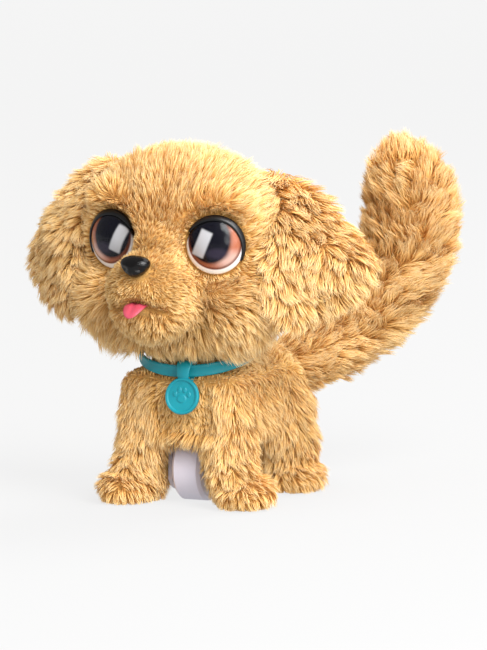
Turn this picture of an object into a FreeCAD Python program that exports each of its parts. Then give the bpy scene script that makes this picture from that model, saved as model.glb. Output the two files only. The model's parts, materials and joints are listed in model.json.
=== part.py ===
import FreeCAD, Part
import math
import os
import re

import Sketcher

# Interactive plush pet: a standing puppy with a fur skin over a hard chassis and skull.
# Frame: +Z up, the pet faces -Y and +X is its left side. The origin is on the floor, at the
# centre of the whole pet's footprint. All sizes are in millimetres and degrees.
SIZES = {
    # fur skin of the torso, taken at about half the depth of the pile
    "torso_half_width": 48, "torso_front": -78, "torso_back": 35,
    "torso_floor": 36, "torso_top": 84.5, "torso_round": 24,
    "belly_half_width": 30.5, "belly_front": -62, "belly_back": 22,
    "top_room": 1.5, "neck_radius": 34.5, "neck_bore_radius": 22, "neck_stub": 30, "neck_rise": 4.5,
    # chassis, a two part box split level with the motor
    "case_half_width": 35, "case_front": -70, "case_back": 24,
    "case_floor": 44, "case_split": 62, "case_top": 78, "wall": 2,
    "skin_gap": 0.5, "fit_gap": 0.05, "gap": 0.2, "lead_in": 0.6,
    "post_radius": 4, "post_x": 31, "post_front": -66, "post_back": 20,
    "screw_radius": 1.25, "screw_hole": 1.3, "screw_head": 2.6, "screw_head_height": 2,
    "screw_length": 24,
    # legs
    "front_leg_x": 36, "front_leg_y": -64, "rear_leg_x": 38, "rear_leg_y": 18,
    "sole_radius": 23, "ankle_radius": 19, "leg_top": 35.5, "toe_round": 4,
    "core_radius": 6, "core_base": 3, "front_core_x": 29, "front_core_y": -56,
    "rear_core_x": 30, "rear_core_y": 11, "leg_screw_depth": 14,
    # drive wheel, its housing plates and its gears
    "wheel_y": -43, "wheel_radius": 21, "wheel_half_width": 10, "wheel_edge": 2,
    "wheel_face": 3,
    "axle_radius": 1.5, "washer_wall": 1.6,
    "plate_thickness": 2.5, "plate_right": -14.5, "plate_left": 17.4,
    "plate_half_length": 13, "plate_round": 15,
    "gear_module": 0.8, "gear_width": 3, "gear_start": 10.9, "pinion_start": 14.4,
    "pinion_width": 2.5, "wheel_teeth": 40, "idler_small_teeth": 12, "idler_big_teeth": 32,
    "pinion_teeth": 10, "tooth_share": 0.40, "addendum": 0.8, "dedendum": 1.2,
    "slot_half_length": 15,
    "motor_length": 25, "motor_thick": 15, "motor_tall": 20, "motor_angle": 120,
    "motor_shaft": 1, "motor_face": 13,
    # tail drive and tail
    "tail_y": 31, "tail_pin_radius": 2, "tail_hub_radius": 6.5, "tail_hub_bottom": 67.2,
    "tail_hub_top": 74.8, "lug_bottom": 64, "lug_thickness": 3, "lug_half_width": 7,
    "lug_end": 36, "tail_teeth": 30, "tail_gear_bottom": 70.5, "tail_gear_top": 73.5,
    "sector_half_angle": 76, "tail_gear_room": 13.5, "tail_motor_radius": 6.5, "tail_motor_bottom": 61.2,
    "tail_motor_top": 69, "tail_swing": 43, "rod_radius": 2.5, "rod_start": 3.5,
    "rod_length": 40, "rod_rise": 5, "rod_level": 71, "skin_thickness": 3,
    "tail_slot_half_width": 24, "tail_slot_bottom": 58,
    # batteries
    "cell_radius": 5.2, "cell_length": 43.5, "nub_radius": 1.9, "nub_length": 1,
    "cell_pitch": 11, "cell_first_y": -12, "contact_thickness": 0.6, "contact_overlap": 5,
    "door_half_width": 23, "door_front": -19, "door_back": 17,
    "door_tab_x": -15, "door_tab_y": -22, "door_tab_half": 4.4, "door_tab_lap": 3,
    "boss_height": 10, "boss_wall": 0.6,
    # electronics and controls
    "board_half_width": 30, "board_front": -60, "board_back": 2, "board_level": 68,
    "board_thickness": 1.6, "standoff_radius": 2.5, "standoff_inset": 4,
    "button_y": -8, "button_radius": 8, "button_flange": 9.6,
    "switch_x": -27, "switch_y": -45, "switch_travel": 4,
    "speaker_radius": 14, "speaker_height": 8, "speaker_y": -78, "speaker_z": 158,
    "wire_radius": 0.8,
    # neck and head
    "neck_y": -48, "neck_post_radius": 8, "neck_flange": 12, "neck_flange_height": 2,
    "neck_post_top": 122, "nod_y": -52, "nod_z": 132, "nod_pin_radius": 2,
    "tongue_half_width": 6, "tongue_half_depth": 7, "yoke_top": 139,
    "rib_thickness": 3, "rib_gap": 0.3, "rib_front": -68, "rib_back": -34, "rib_bottom": 124.5,
    "rib_above_pin": 6,
    "skull_y": -62, "skull_z": 163, "skull_rx": 46, "skull_ry": 34, "skull_rz": 42,
    "skull_wall": 2.2, "skull_hole": 13.5,
    "cranium_y": -63, "cranium_z": 161, "cranium_rx": 66, "cranium_ry": 47, "cranium_rz": 60,
    "muzzle_y": -113, "muzzle_z": 136, "muzzle_rx": 27, "muzzle_ry": 27, "muzzle_rz": 29,
    "head_neck_hole": 17,
    # face
    "eye_x": 34.5, "eye_y": -94.5, "eye_z": 167, "eye_splay": 18, "eye_radius": 16,
    "eye_dome": 7, "eye_depth": 5, "peg_radius": 4, "peg_length": 7, "lens_wall": 0.6,
    "lid_radius": 18.2, "lid_shift": 1, "lid_back": 3, "lid_front": 3.5,
    "eye_pocket": 19.6,
    "nose_y": -135.5, "nose_z": 156.5, "nose_rx": 9.5, "nose_ry": 7.5, "nose_rz": 7,
    "lick_y": -139, "lick_z": 129, "lick_rx": 6.5, "lick_ry": 6.5, "lick_rz": 2.2,
    # ears, each a flap that hangs outwards from the side of the head
    "ear_x": 91.5, "ear_y": -46, "ear_z": 149, "ear_half_length": 54, "ear_half_width": 37,
    "ear_half_thickness": 9, "ear_yaw": 64, "ear_lean": -20,
    # collar and tag
    "collar_y": -40, "collar_z": 94.5, "collar_lean": 16, "collar_inner": 35.5,
    "collar_outer": 38, "collar_height": 8,
    "ring_radius": 6.1, "ring_wire": 1.3, "tag_half_width": 10, "tag_half_height": 11.5,
    "tag_thickness": 2, "tag_drop": 22, "tag_tilt": 10, "tag_edge": 0.8, "tag_border": 1.4,
    "tag_neck": 2.2, "pad_radius": 2.6, "pad_y": -1.6, "toe_radius": 1.1, "toe_x": 3.4,
    "toe_low": 1.4, "toe_high": 3.2,
}

# places worked out from the sizes
GEAR_REACH = "gear_module * (idler_big_teeth + pinion_teeth) / 2"
IDLER_Z = "(wheel_radius + gear_module * (wheel_teeth + idler_small_teeth) / 2)"
MOTOR_Y = f"(wheel_y + {GEAR_REACH} * cos(motor_angle))"
MOTOR_Z = f"({IDLER_Z} + {GEAR_REACH} * sin(motor_angle))"
TAIL_PINION_Y = "(tail_y - gear_module * (tail_teeth + pinion_teeth) / 2)"
COLLAR_FRONT_Y = "(collar_y - (collar_inner + collar_outer) / 2 * cos(collar_lean))"
COLLAR_FRONT_Z = "(collar_z - (collar_inner + collar_outer) / 2 * sin(collar_lean))"

DOC = FreeCAD.newDocument("plush_pet")
SHEET = DOC.addObject("Spreadsheet::Sheet", "Sizes")
PARTS = {}


def fill_sheet():
    for row, (alias, value) in enumerate(SIZES.items(), start=1):
        SHEET.set(f"A{row}", alias)
        SHEET.set(f"B{row}", str(value))
        SHEET.setAlias(f"B{row}", alias)
    DOC.recompute()


def sized(text):
    """The expression with each size's name made a reference to its cell."""
    return re.sub(r"[a-z_]+[a-z]", lambda word: prefixed(word.group()), str(text))


def prefixed(word):
    return "Sizes." + word if word in SIZES else word


def make(kind, name, **sizes):
    made = DOC.addObject(kind, name)
    for prop, text in sizes.items():
        made.setExpression(prop, sized(text))
    return made


def place(made, x="0", y="0", z="0", turn="rotation(vector(0; 0; 1); 0)"):
    where = f"placement(vector({sized(x)}; {sized(y)}; {sized(z)}); {sized(turn)})"
    made.setExpression("Placement", where)
    return made


def about(axis, angle):
    """A rotation about one of the axes, for place()."""
    vector = {"x": "1; 0; 0", "y": "0; 1; 0", "z": "0; 0; 1"}[axis]
    return f"rotation(vector({vector}); {angle})"


def box(name, x, y, z):
    """A box between a low and a high value on each axis."""
    spans = [f"({high}) - ({low})" for low, high in (x, y, z)]
    made = make("Part::Box", name, Length=spans[0], Width=spans[1], Height=spans[2])
    return place(made, x[0], y[0], z[0])


def rod(name, radius, length, x="0", y="0", z="0", turn=None):
    """A cylinder from (x, y, z), standing up unless turned."""
    made = make("Part::Cylinder", name, Radius=radius, Height=length)
    return place(made, x, y, z, turn or about("z", 0))


def rod_x(name, radius, low, high, y, z):
    """A cylinder along X."""
    return rod(name, radius, f"({high}) - ({low})", low, y, z, about("y", 90))


def ball(name, rx, ry, rz, x="0", y="0", z="0", turn=None):
    """An ellipsoid with a half size along each axis."""
    made = make("Part::Ellipsoid", name, Radius1=rz, Radius2=rx, Radius3=ry,
                Angle1="-90", Angle2="90", Angle3="360")
    return place(made, x, y, z, turn or about("z", 0))


def fuse(name, *pieces):
    made = DOC.addObject("Part::MultiFuse", name)
    made.Shapes = list(pieces)
    return made


def cut(name, base, *tools):
    made = DOC.addObject("Part::Cut", name)
    made.Base = base
    made.Tool = tools[0] if len(tools) == 1 else fuse(name + "_tools", *tools)
    return made


def common(name, base, tool):
    made = DOC.addObject("Part::Common", name)
    made.Base = base
    made.Tool = tool
    return made


def group(name, *pieces):
    made = DOC.addObject("Part::Compound", name)
    made.Links = list(pieces)
    return made


def mirrored(name, source):
    made = DOC.addObject("Part::Mirroring", name)
    made.Source = source
    made.Normal = (1, 0, 0)
    return made


def rounded(name, base, radius, edges):
    """A fillet on the numbered edges of a primitive."""
    made = DOC.addObject("Part::Fillet", name)
    made.Base = base
    made.Edges = [(edge, radius, radius) for edge in edges]
    return made


def part(node, made):
    made.Label = node
    PARTS[node] = made
    return made


def outline(body, plane_role, points):
    """A closed sketch whose every corner is bound to the sheet."""
    plane = next(f for f in body.Origin.OriginFeatures if f.Role == plane_role)
    sketch = body.newObject("Sketcher::SketchObject", body.Name + "_outline")
    sketch.AttachmentSupport = (plane, [""])
    sketch.MapMode = "FlatFace"
    count = len(points)
    start = [FreeCAD.Vector(math.cos(k), math.sin(k), 0) * count for k in range(count)]
    for k in range(count):
        sketch.addGeometry(Part.LineSegment(start[k], start[(k + 1) % count]))
    for k in range(count):
        sketch.addConstraint(Sketcher.Constraint("Coincident", k, 2, (k + 1) % count, 1))
    for k, corner in enumerate(points):
        for kind, text in zip(("DistanceX", "DistanceY"), corner):
            made = sketch.addConstraint(Sketcher.Constraint(kind, -1, 1, k, 1, 1.0))
            sketch.setExpression(f"Constraints[{made}]", sized(text))
    return sketch


def turned(name, points):
    """A body turned about its own Z axis from (radius, height) corners."""
    body = DOC.addObject("PartDesign::Body", name)
    sketch = outline(body, "XZ_Plane", points)
    turn = body.newObject("PartDesign::Revolution", name + "_turn")
    turn.Profile = sketch
    turn.ReferenceAxis = (sketch, ["V_Axis"])
    turn.Angle = 360
    return body


def toothed(teeth, tooth_at, thickness, half_angle=180):
    """A straight flanked spur gear that stands on the XY plane, with a tooth at the angle
    tooth_at. Teeth further than half_angle from it are left off, which makes a sector."""
    module = SIZES["gear_module"]
    root = module * (teeth / 2 - SIZES["dedendum"])
    tip = module * (teeth / 2 + SIZES["addendum"])
    step = 360 / teeth
    flank = step * SIZES["tooth_share"] / 2
    corners = []
    for k in range(teeth):
        from_middle = abs(math.remainder(k * step, 360))
        crest = tip if from_middle <= half_angle else root
        for radius, offset in ((root, -1.45), (crest, -0.55), (crest, 0.55), (root, 1.45)):
            at = math.radians(tooth_at + k * step + offset * flank)
            corners.append(FreeCAD.Vector(radius * math.cos(at), radius * math.sin(at), 0))
    face = Part.Face(Part.makePolygon(corners + corners[:1]))
    return face.extrude(FreeCAD.Vector(0, 0, thickness))


def shaped(node, shape, where):
    """A node from a finished shape."""
    made = DOC.addObject("Part::Feature", node)
    made.Shape = shape
    made.Placement = where
    return part(node, made)


def body_cover():
    torso = box("torso", ("-torso_half_width", "torso_half_width"),
                ("torso_front", "torso_back"), ("torso_floor", "torso_top"))
    skin = rounded("torso_skin", torso, SIZES["torso_round"] - 0.5, range(1, 13))
    lean = about("x", "collar_lean")
    stub = rod("neck_stub_skin", "neck_radius", "neck_stub + neck_rise", "0",
               "collar_y + neck_stub * sin(collar_lean)",
               "collar_z - neck_stub * cos(collar_lean)", lean)
    hollow = box("case_space", ("-case_half_width - skin_gap", "case_half_width + skin_gap"),
                 ("case_front - skin_gap", "case_back + skin_gap"),
                 ("case_floor - skin_gap", "case_top + top_room"))
    belly = box("belly_opening", ("-belly_half_width", "belly_half_width"),
                ("belly_front", "belly_back"), ("torso_floor - 1", "case_floor"))
    bore = rod("neck_bore", "neck_bore_radius", "60", "0", "neck_y", "case_top - 5")
    tail = box("tail_slot", ("-tail_slot_half_width", "tail_slot_half_width"),
               ("case_back - 1", "torso_back + 5"), ("tail_slot_bottom", "case_top + top_room"))
    ring = rod_x("ring_space", "ring_radius + ring_wire + 1", "-3", "3",
                 COLLAR_FRONT_Y, COLLAR_FRONT_Z)
    cores = [rod(f"core_hole_{side}_{end}", "core_radius + gap", "20", f"{sign}{end}_core_x",
                 f"{end}_core_y", "torso_floor - 5")
             for end in ("front", "rear") for side, sign in (("left", ""), ("right", "-"))]
    whole = fuse("torso_and_neck", skin, stub)
    part("body_cover", cut("body_cover", whole, hollow, belly, bore, tail, ring, *cores))


def legs():
    for end in ("front", "rear"):
        core_x, core_y = f"{end}_core_x", f"{end}_core_y"
        column = make("Part::Cone", f"{end}_leg_column", Radius1="sole_radius",
                      Radius2="ankle_radius", Height="leg_top")
        place(column, f"{end}_leg_x", f"{end}_leg_y")
        boot = rounded(f"{end}_leg_boot", column, SIZES["toe_round"], [3])
        housing = box(f"{end}_housing_space",
                      ("0", "plate_left + plate_thickness + skin_gap"),
                      ("wheel_y - plate_half_length - skin_gap", "wheel_y + slot_half_length"),
                      ("0", "case_floor"))
        hole = rod(f"{end}_leg_hole", "core_radius + gap", "leg_top", core_x, core_y,
                   "core_base - gap")
        core = rod(f"{end}_core_rod", "core_radius", "case_floor - core_base", core_x, core_y,
                   "core_base")
        pilot = rod(f"{end}_core_pilot", "screw_hole", "leg_screw_depth", core_x, core_y,
                    "case_floor - leg_screw_depth")
        for node, made in ((f"{end}_leg", cut(f"{end}_leg_left", boot, hole, housing)),
                           (f"{end}_leg_core", cut(f"{end}_leg_core_left", core, pilot))):
            part(f"{node}_left", made)
            part(f"{node}_right", mirrored(f"{node}_right", made))


def leg_spots():
    """The (x, y) of the four leg cores."""
    return [(f"{sign}{end}_core_x", f"{end}_core_y")
            for end in ("front", "rear") for sign in ("", "-")]


def post_spots():
    """The (x, y) of the four screw posts of the chassis."""
    return [(f"{sign}post_x", y) for y in ("post_front", "post_back") for sign in ("", "-")]


def housing_plate(name, low):
    """One side plate of the wheel housing, with a round bottom and the axle's hole."""
    high = f"{low} + plate_thickness"
    upper = box(name + "_upper", (low, high),
                ("wheel_y - plate_half_length", "wheel_y + plate_half_length"),
                ("wheel_radius", "case_floor"))
    lower = rod_x(name + "_lower", "plate_round", low, high, "wheel_y", "wheel_radius")
    kept = box(name + "_kept", (low, high),
               ("wheel_y - plate_half_length", "wheel_y + plate_half_length"),
               ("wheel_radius - plate_round", "wheel_radius"))
    return fuse(name, upper, common(name + "_round", lower, kept))


def chassis_lower():
    shell = box("lower_shell", ("-case_half_width", "case_half_width"),
                ("case_front", "case_back"), ("case_floor", "case_split"))
    posts = [rod(f"lower_post_{k}", "post_radius", "case_split - case_floor - wall", x, y,
                 "case_floor + wall") for k, (x, y) in enumerate(post_spots())]
    hollow = box("lower_hollow", ("-case_half_width + wall", "case_half_width - wall"),
                 ("case_front + wall", "case_back - wall"),
                 ("case_floor + wall", "case_split"))
    door = box("door_opening", ("-door_half_width - gap", "door_half_width + gap"),
               ("door_front - gap", "door_back + gap"), ("case_floor", "case_floor + wall"))
    boss = rod("door_boss", "screw_head + boss_wall", "boss_height", "door_tab_x", "door_tab_y",
               "case_floor")
    boss_hole = rod("door_boss_hole", "screw_hole", "boss_height", "door_tab_x",
                    "door_tab_y", "case_floor")
    slot = box("gear_slot", ("wheel_half_width + gap", "plate_left"),
               ("wheel_y - slot_half_length", "wheel_y + slot_half_length"),
               ("case_floor", "case_floor + wall"))
    knob = box("knob_slot", ("switch_x - 1.5 - gap", "switch_x + 1.5 + gap"),
               ("switch_y - 2 - gap", "switch_y + 2 + switch_travel + gap"),
               ("case_floor", "case_floor + wall"))
    axle = rod_x("axle_hole", "axle_radius", "plate_right", "plate_left + plate_thickness",
                 "wheel_y", "wheel_radius")
    idler = rod_x("idler_hole", "axle_radius", "plate_left",
                  "plate_left + plate_thickness", "wheel_y", IDLER_Z)
    pilots = [rod(f"lower_pilot_{k}", "screw_hole", "case_split - case_floor - 1.5 * wall",
                  x, y, "case_floor + 1.5 * wall")
              for k, (x, y) in enumerate(post_spots())]
    leg_holes = [rod(f"leg_screw_hole_{k}", "screw_hole", "wall", x, y, "case_floor")
                 for k, (x, y) in enumerate(leg_spots())]
    plates = [housing_plate("right_plate", "plate_right"),
              housing_plate("left_plate", "plate_left")]
    frame = fuse("lower_frame", cut("lower_open", shell, hollow), boss, *posts, *plates)
    part("chassis_lower", cut("chassis_lower", frame, door, boss_hole, slot, knob, axle, idler,
                              *pilots, *leg_holes))


def chassis_upper():
    shell = box("upper_shell", ("-case_half_width", "case_half_width"),
                ("case_front", "case_back"), ("case_split", "case_top"))
    hollow = box("upper_hollow", ("-case_half_width + wall", "case_half_width - wall"),
                 ("case_front + wall", "case_back - wall"),
                 ("case_split", "case_top - wall"))
    posts = [rod(f"upper_post_{k}", "post_radius", "case_top - case_split", x, y, "case_split")
             for k, (x, y) in enumerate(post_spots())]
    board_top = "board_level + board_thickness"
    standoffs = [rod(f"standoff_{x}{y}", "standoff_radius", f"case_top - wall - ({board_top})",
                     f"{x}(board_half_width - standoff_inset)",
                     "board_front + standoff_inset" if y == "f" else "board_back - standoff_inset",
                     board_top)
                 for x in ("", "-") for y in ("f", "b")]
    lugs = []
    for name, low in (("low_lug", "lug_bottom"), ("high_lug", "case_top - lug_thickness")):
        lugs.append(box(name, ("-lug_half_width", "lug_half_width"),
                        ("case_back", "lug_end"), (low, f"{low} + lug_thickness")))
    holes = []
    for k, (x, y) in enumerate(post_spots()):
        holes.append(rod(f"upper_hole_{k}", "screw_hole", "case_top - case_split", x, y,
                         "case_split"))
        holes.append(rod(f"upper_sink_{k}", "screw_head + gap", "screw_head_height + gap", x, y,
                         "case_top - screw_head_height - gap"))
    pin = rod("tail_pin_hole", "tail_pin_radius", "case_top", "0", "tail_y", "0")
    slot = box("sector_slot", ("-tail_gear_room", "tail_gear_room"),
               ("case_back - wall", "case_back"),
               ("tail_gear_bottom - gap", "tail_gear_top + gap"))
    bearing = rod("neck_bearing", "neck_post_radius + fit_gap", "wall", "0", "neck_y",
                  "case_top - wall")
    button = rod("button_hole", "button_radius + gap", "wall", "0", "button_y",
                 "case_top - wall")
    frame = fuse("upper_frame", cut("upper_open", shell, hollow), *posts, *standoffs, *lugs)
    part("chassis_upper", cut("chassis_upper", frame, pin, slot, bearing, button, *holes))


def screw(name, x, y, head_top, length):
    """A pan head screw that points down from head_top."""
    made = turned(name, [("0", f"-({length})"), ("screw_radius", f"-({length})"),
                         ("screw_radius", "-screw_head_height"),
                         ("screw_head", "-screw_head_height"), ("screw_head", "-0.4"),
                         ("screw_head - 0.6", "0"), ("0", "0")])
    return place(made, x, y, head_top)


def fasteners():
    part("case_screws", group("case_screws", *[
        screw(f"case_screw_{k}", x, y, "case_top", "screw_length")
        for k, (x, y) in enumerate(post_spots())]))
    part("leg_screws", group("leg_screws", *[
        screw(f"leg_screw_{k}", x, y, "case_floor + wall + screw_head_height",
              "leg_screw_depth")
        for k, (x, y) in enumerate(leg_spots())]))


def batteries():
    cells = []
    for k in range(3):
        y = f"cell_first_y + {k} * cell_pitch"
        level = "case_floor + wall + cell_radius + gap"
        can = rod_x(f"cell_can_{k}", "cell_radius", "-cell_length / 2 - nub_length / 2",
                    "cell_length / 2 - nub_length / 2", y, level)
        nub = rod_x(f"cell_nub_{k}", "nub_radius", "cell_length / 2 - nub_length / 2",
                    "cell_length / 2 + nub_length / 2", y, level)
        cells.append(fuse(f"cell_{k}", can, nub))
    part("battery_cells", group("battery_cells", *cells))
    end = "cell_length / 2 + nub_length / 2"
    plates = []
    for side, low, high in (("left", end, f"{end} + contact_thickness"),
                            ("right", f"-({end}) - contact_thickness", f"-({end})")):
        plates.append(box(f"contact_{side}", (low, high),
                          ("cell_first_y - cell_radius",
                           "cell_first_y + 2 * cell_pitch + contact_overlap"),
                          ("case_floor + wall + 2", "case_floor + wall + 2 * cell_radius")))
    part("battery_contacts", group("battery_contacts", *plates))


def battery_door():
    plate = box("door_plate", ("-door_half_width", "door_half_width"),
                ("door_front", "door_back"), ("case_floor", "case_floor + wall - gap"))
    tab = box("door_tab", ("door_tab_x - door_tab_half", "door_tab_x + door_tab_half"),
              ("door_tab_y - door_tab_lap", "door_front + door_tab_lap"),
              ("case_floor - wall", "case_floor - gap"))
    step = box("door_step", ("door_tab_x - door_tab_half", "door_tab_x + door_tab_half"),
               ("door_front", "door_front + door_tab_lap"),
               ("case_floor - wall", "case_floor + wall / 2"))
    hole = rod("door_screw_hole", "screw_hole", "2 * wall", "door_tab_x", "door_tab_y",
               "case_floor - 1.5 * wall")
    part("battery_door", cut("battery_door", fuse("door_body", plate, tab, step), hole))
    fixing = turned("battery_door_screw", [
        ("0", "-screw_head_height"), ("screw_head", "-screw_head_height"), ("screw_head", "0"),
        ("screw_radius", "0"), ("screw_radius", "boss_height - 1"), ("0", "boss_height - 1")])
    part("battery_door_screw", place(fixing, "door_tab_x", "door_tab_y", "case_floor - wall"))


def electronics():
    board = box("board_plate", ("-board_half_width", "board_half_width"),
                ("board_front", "board_back"),
                ("board_level", "board_level + board_thickness"))
    top = "board_level + board_thickness"
    tact = box("tact_switch", ("-3", "3"), ("button_y - 3", "button_y + 3"),
               (top, f"{top} + 2.6"))
    chip = box("chip", ("10", "20"), ("-35", "-25"), (top, f"{top} + 1.5"))
    reservoir = rod("capacitor", "3", "5", "-18", "-30", top)
    part("circuit_board", fuse("circuit_board", board, tact, chip, reservoir))
    part("touch_button", place(turned("touch_button", [
        ("0", "0"), ("button_flange", "0"), ("button_flange", "1.7"),
        ("button_radius", "1.7"), ("button_radius", "4.4"), ("button_radius - 0.8", "5.2"),
        ("0", "5.2")]), "0", "button_y", "case_top - wall - 2"))
    knob = box("switch_stem", ("switch_x - 1.5", "switch_x + 1.5"),
               ("switch_y - 2", "switch_y + 2"), ("case_floor - 2.5", "case_floor + wall + 1"))
    slider = box("switch_slider", ("switch_x - 4", "switch_x + 4"),
                 ("switch_y - 4", "switch_y + 4"),
                 ("case_floor + wall + gap", "case_floor + wall + 2.5"))
    part("power_switch", fuse("power_switch", knob, slider))
    part("speaker", place(turned("speaker", [
        ("0", "0"), ("speaker_radius * 0.55", "0"), ("speaker_radius * 0.55", "3"),
        ("speaker_radius", "speaker_height - 1.5"), ("speaker_radius", "speaker_height"),
        ("speaker_radius - 1.5", "speaker_height"), ("5", "speaker_height - 2.5"),
        ("0", "speaker_height - 1.5")]), "0", "speaker_y", "speaker_z",
        "rotation(vector(1; 0; 0); 90)"))


def drive():
    along_x = about("y", 90)
    drum = turned("drive_wheel", [
        ("axle_radius + fit_gap", "-wheel_half_width"),
        ("wheel_radius - wheel_edge - wheel_face", "-wheel_half_width"),
        ("wheel_radius - wheel_edge", "-wheel_half_width + lead_in"),
        ("wheel_radius", "-wheel_half_width + wheel_edge + lead_in"),
        ("wheel_radius", "wheel_half_width - wheel_edge - lead_in"),
        ("wheel_radius - wheel_edge", "wheel_half_width - lead_in"),
        ("wheel_radius - wheel_edge - wheel_face", "wheel_half_width"),
        ("axle_radius + fit_gap", "wheel_half_width")])
    part("drive_wheel", place(drum, "0", "wheel_y", "wheel_radius", along_x))
    part("wheel_axle", rod_x("wheel_axle", "axle_radius", "plate_right",
                             "plate_left + plate_thickness", "wheel_y", "wheel_radius"))
    spacers = [("right", "plate_right + plate_thickness + gap", "-wheel_half_width - gap"),
               ("left", "gear_start + gear_width + 0.1", "plate_left - gap")]
    washers = []
    for side, low, high in spacers:
        ring = turned(f"washer_{side}", [
            ("axle_radius + fit_gap", "0"), ("axle_radius + washer_wall", "0"),
            ("axle_radius + washer_wall", f"({high}) - ({low})"),
            ("axle_radius + fit_gap", f"({high}) - ({low})")])
        washers.append(place(ring, low, "wheel_y", "wheel_radius", along_x))
    part("axle_spacers", group("axle_spacers", *washers))
    part("idler_pin", rod_x("idler_pin", "axle_radius", "gear_start - 0.3",
                            "plate_left + plate_thickness", "wheel_y", IDLER_Z))
    body = box("motor_can", ("motor_face - motor_length", "motor_face"),
               (f"{MOTOR_Y} - motor_thick / 2", f"{MOTOR_Y} + motor_thick / 2"),
               (f"{MOTOR_Z} - motor_tall / 2", f"{MOTOR_Z} + motor_tall / 2"))
    part("drive_motor", cut("drive_motor", rounded("motor_body", body, 3, (9, 10, 11, 12)),
                            rod_x("motor_shaft_hole", "motor_shaft + fit_gap",
                                  "motor_face - motor_length + 2", "motor_face",
                                  MOTOR_Y, MOTOR_Z)))


def drive_gears():
    """The wheel gear, the compound idler and the motor pinion, in mesh at rest. Each is made
    about Z and laid along X, where a tooth that points at an angle from +Y towards +Z is
    made a quarter turn further round."""
    size = SIZES
    module = size["gear_module"]
    bore = size["axle_radius"] + size["fit_gap"]
    start = size["gear_start"]
    step_up = size["pinion_start"] - start
    reach = module * (size["idler_big_teeth"] + size["pinion_teeth"]) / 2
    wheel = FreeCAD.Vector(start, size["wheel_y"], size["wheel_radius"])
    rise = module * (size["wheel_teeth"] + size["idler_small_teeth"]) / 2
    idler = wheel + FreeCAD.Vector(0, 0, rise)
    across = math.radians(size["motor_angle"])
    motor = idler + FreeCAD.Vector(step_up, reach * math.cos(across), reach * math.sin(across))
    along_x = FreeCAD.Rotation(FreeCAD.Vector(0, 1, 0), 90)
    quarter = 90

    up = 90
    wheel_gear = toothed(size["wheel_teeth"], up + quarter, size["gear_width"])
    shaped("wheel_gear", wheel_gear.cut(Part.makeCylinder(bore, size["gear_width"])),
           FreeCAD.Placement(wheel, along_x))

    gap_down = -up + 180 / size["idler_small_teeth"]
    small = toothed(size["idler_small_teeth"], gap_down + quarter, size["gear_width"])
    neck = Part.makeCylinder(module * (size["idler_small_teeth"] / 2 - size["dedendum"]),
                             step_up)
    big = toothed(size["idler_big_teeth"], size["motor_angle"] + quarter,
                  size["pinion_width"])
    big.translate(FreeCAD.Vector(0, 0, step_up))
    hole = Part.makeCylinder(bore, step_up + size["pinion_width"])
    shaped("idler_gear", small.fuse([neck, big]).cut(hole),
           FreeCAD.Placement(idler, along_x))

    gap_back = size["motor_angle"] + 180 + 180 / size["pinion_teeth"]
    pinion = toothed(size["pinion_teeth"], gap_back + quarter, size["pinion_width"])
    shaft_back = size["pinion_start"] - size["motor_face"] + size["motor_length"] - 3
    shaft = Part.makeCylinder(size["motor_shaft"], shaft_back + size["pinion_width"],
                              FreeCAD.Vector(0, 0, -shaft_back))
    shaped("motor_pinion", pinion.fuse(shaft), FreeCAD.Placement(motor, along_x))


def tail_drive():
    """The tail's hub with its gear sector on an upright pin, driven by a small pinion."""
    size = SIZES
    upright = FreeCAD.Rotation()
    low = size["tail_gear_bottom"]
    width = size["tail_gear_top"] - low
    hub_height = size["tail_hub_top"] - size["tail_hub_bottom"]
    sector = toothed(size["tail_teeth"], -90, width, size["sector_half_angle"])
    sector.translate(FreeCAD.Vector(0, 0, low))
    keep = Part.makeBox(2 * size["lug_end"], size["lug_end"], width,
                        FreeCAD.Vector(-size["lug_end"], -size["lug_end"] + 2, low))
    barrel = Part.makeCylinder(size["tail_hub_radius"], hub_height,
                               FreeCAD.Vector(0, 0, size["tail_hub_bottom"]))
    bore = Part.makeCylinder(size["tail_pin_radius"] + size["fit_gap"], 2 * hub_height,
                             FreeCAD.Vector(0, 0, size["tail_hub_bottom"] - hub_height / 2))
    swing = math.radians(size["tail_swing"])
    rise = math.radians(size["rod_rise"])
    outwards = FreeCAD.Vector(math.sin(swing) * math.cos(rise),
                              math.cos(swing) * math.cos(rise), math.sin(rise))
    armature = Part.makeCylinder(size["rod_radius"], size["rod_length"],
                                 FreeCAD.Vector(0, 0, size["rod_level"])
                                 + outwards * size["rod_start"], outwards)
    at_pin = FreeCAD.Placement(FreeCAD.Vector(0, size["tail_y"], 0), upright)
    shaped("tail_hub", barrel.fuse(sector.common(keep)).cut([bore, armature]), at_pin)
    shaped("tail_armature", armature, at_pin)

    reach = size["gear_module"] * (size["tail_teeth"] + size["pinion_teeth"]) / 2
    gap_back = 90 + 180 / size["pinion_teeth"]
    pinion = toothed(size["pinion_teeth"], gap_back, width)
    shaft_depth = low - size["tail_motor_bottom"] - 1
    shaft = Part.makeCylinder(size["motor_shaft"], shaft_depth + width,
                              FreeCAD.Vector(0, 0, -shaft_depth))
    shaped("tail_pinion", pinion.fuse(shaft),
           FreeCAD.Placement(FreeCAD.Vector(0, size["tail_y"] - reach, low), upright))
    part("tail_pin", rod("tail_pin", "tail_pin_radius", "case_top - lug_bottom", "0",
                         "tail_y", "lug_bottom"))
    can = rod("tail_motor_can", "tail_motor_radius", "tail_motor_top - tail_motor_bottom",
              "0", TAIL_PINION_Y, "tail_motor_bottom")
    hole = rod("tail_motor_hole", "motor_shaft + fit_gap",
               "tail_motor_top - tail_motor_bottom - 1 + gap", "0", TAIL_PINION_Y,
               "tail_motor_bottom + 1 - gap")
    part("tail_motor", cut("tail_motor", can, hole))


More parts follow.
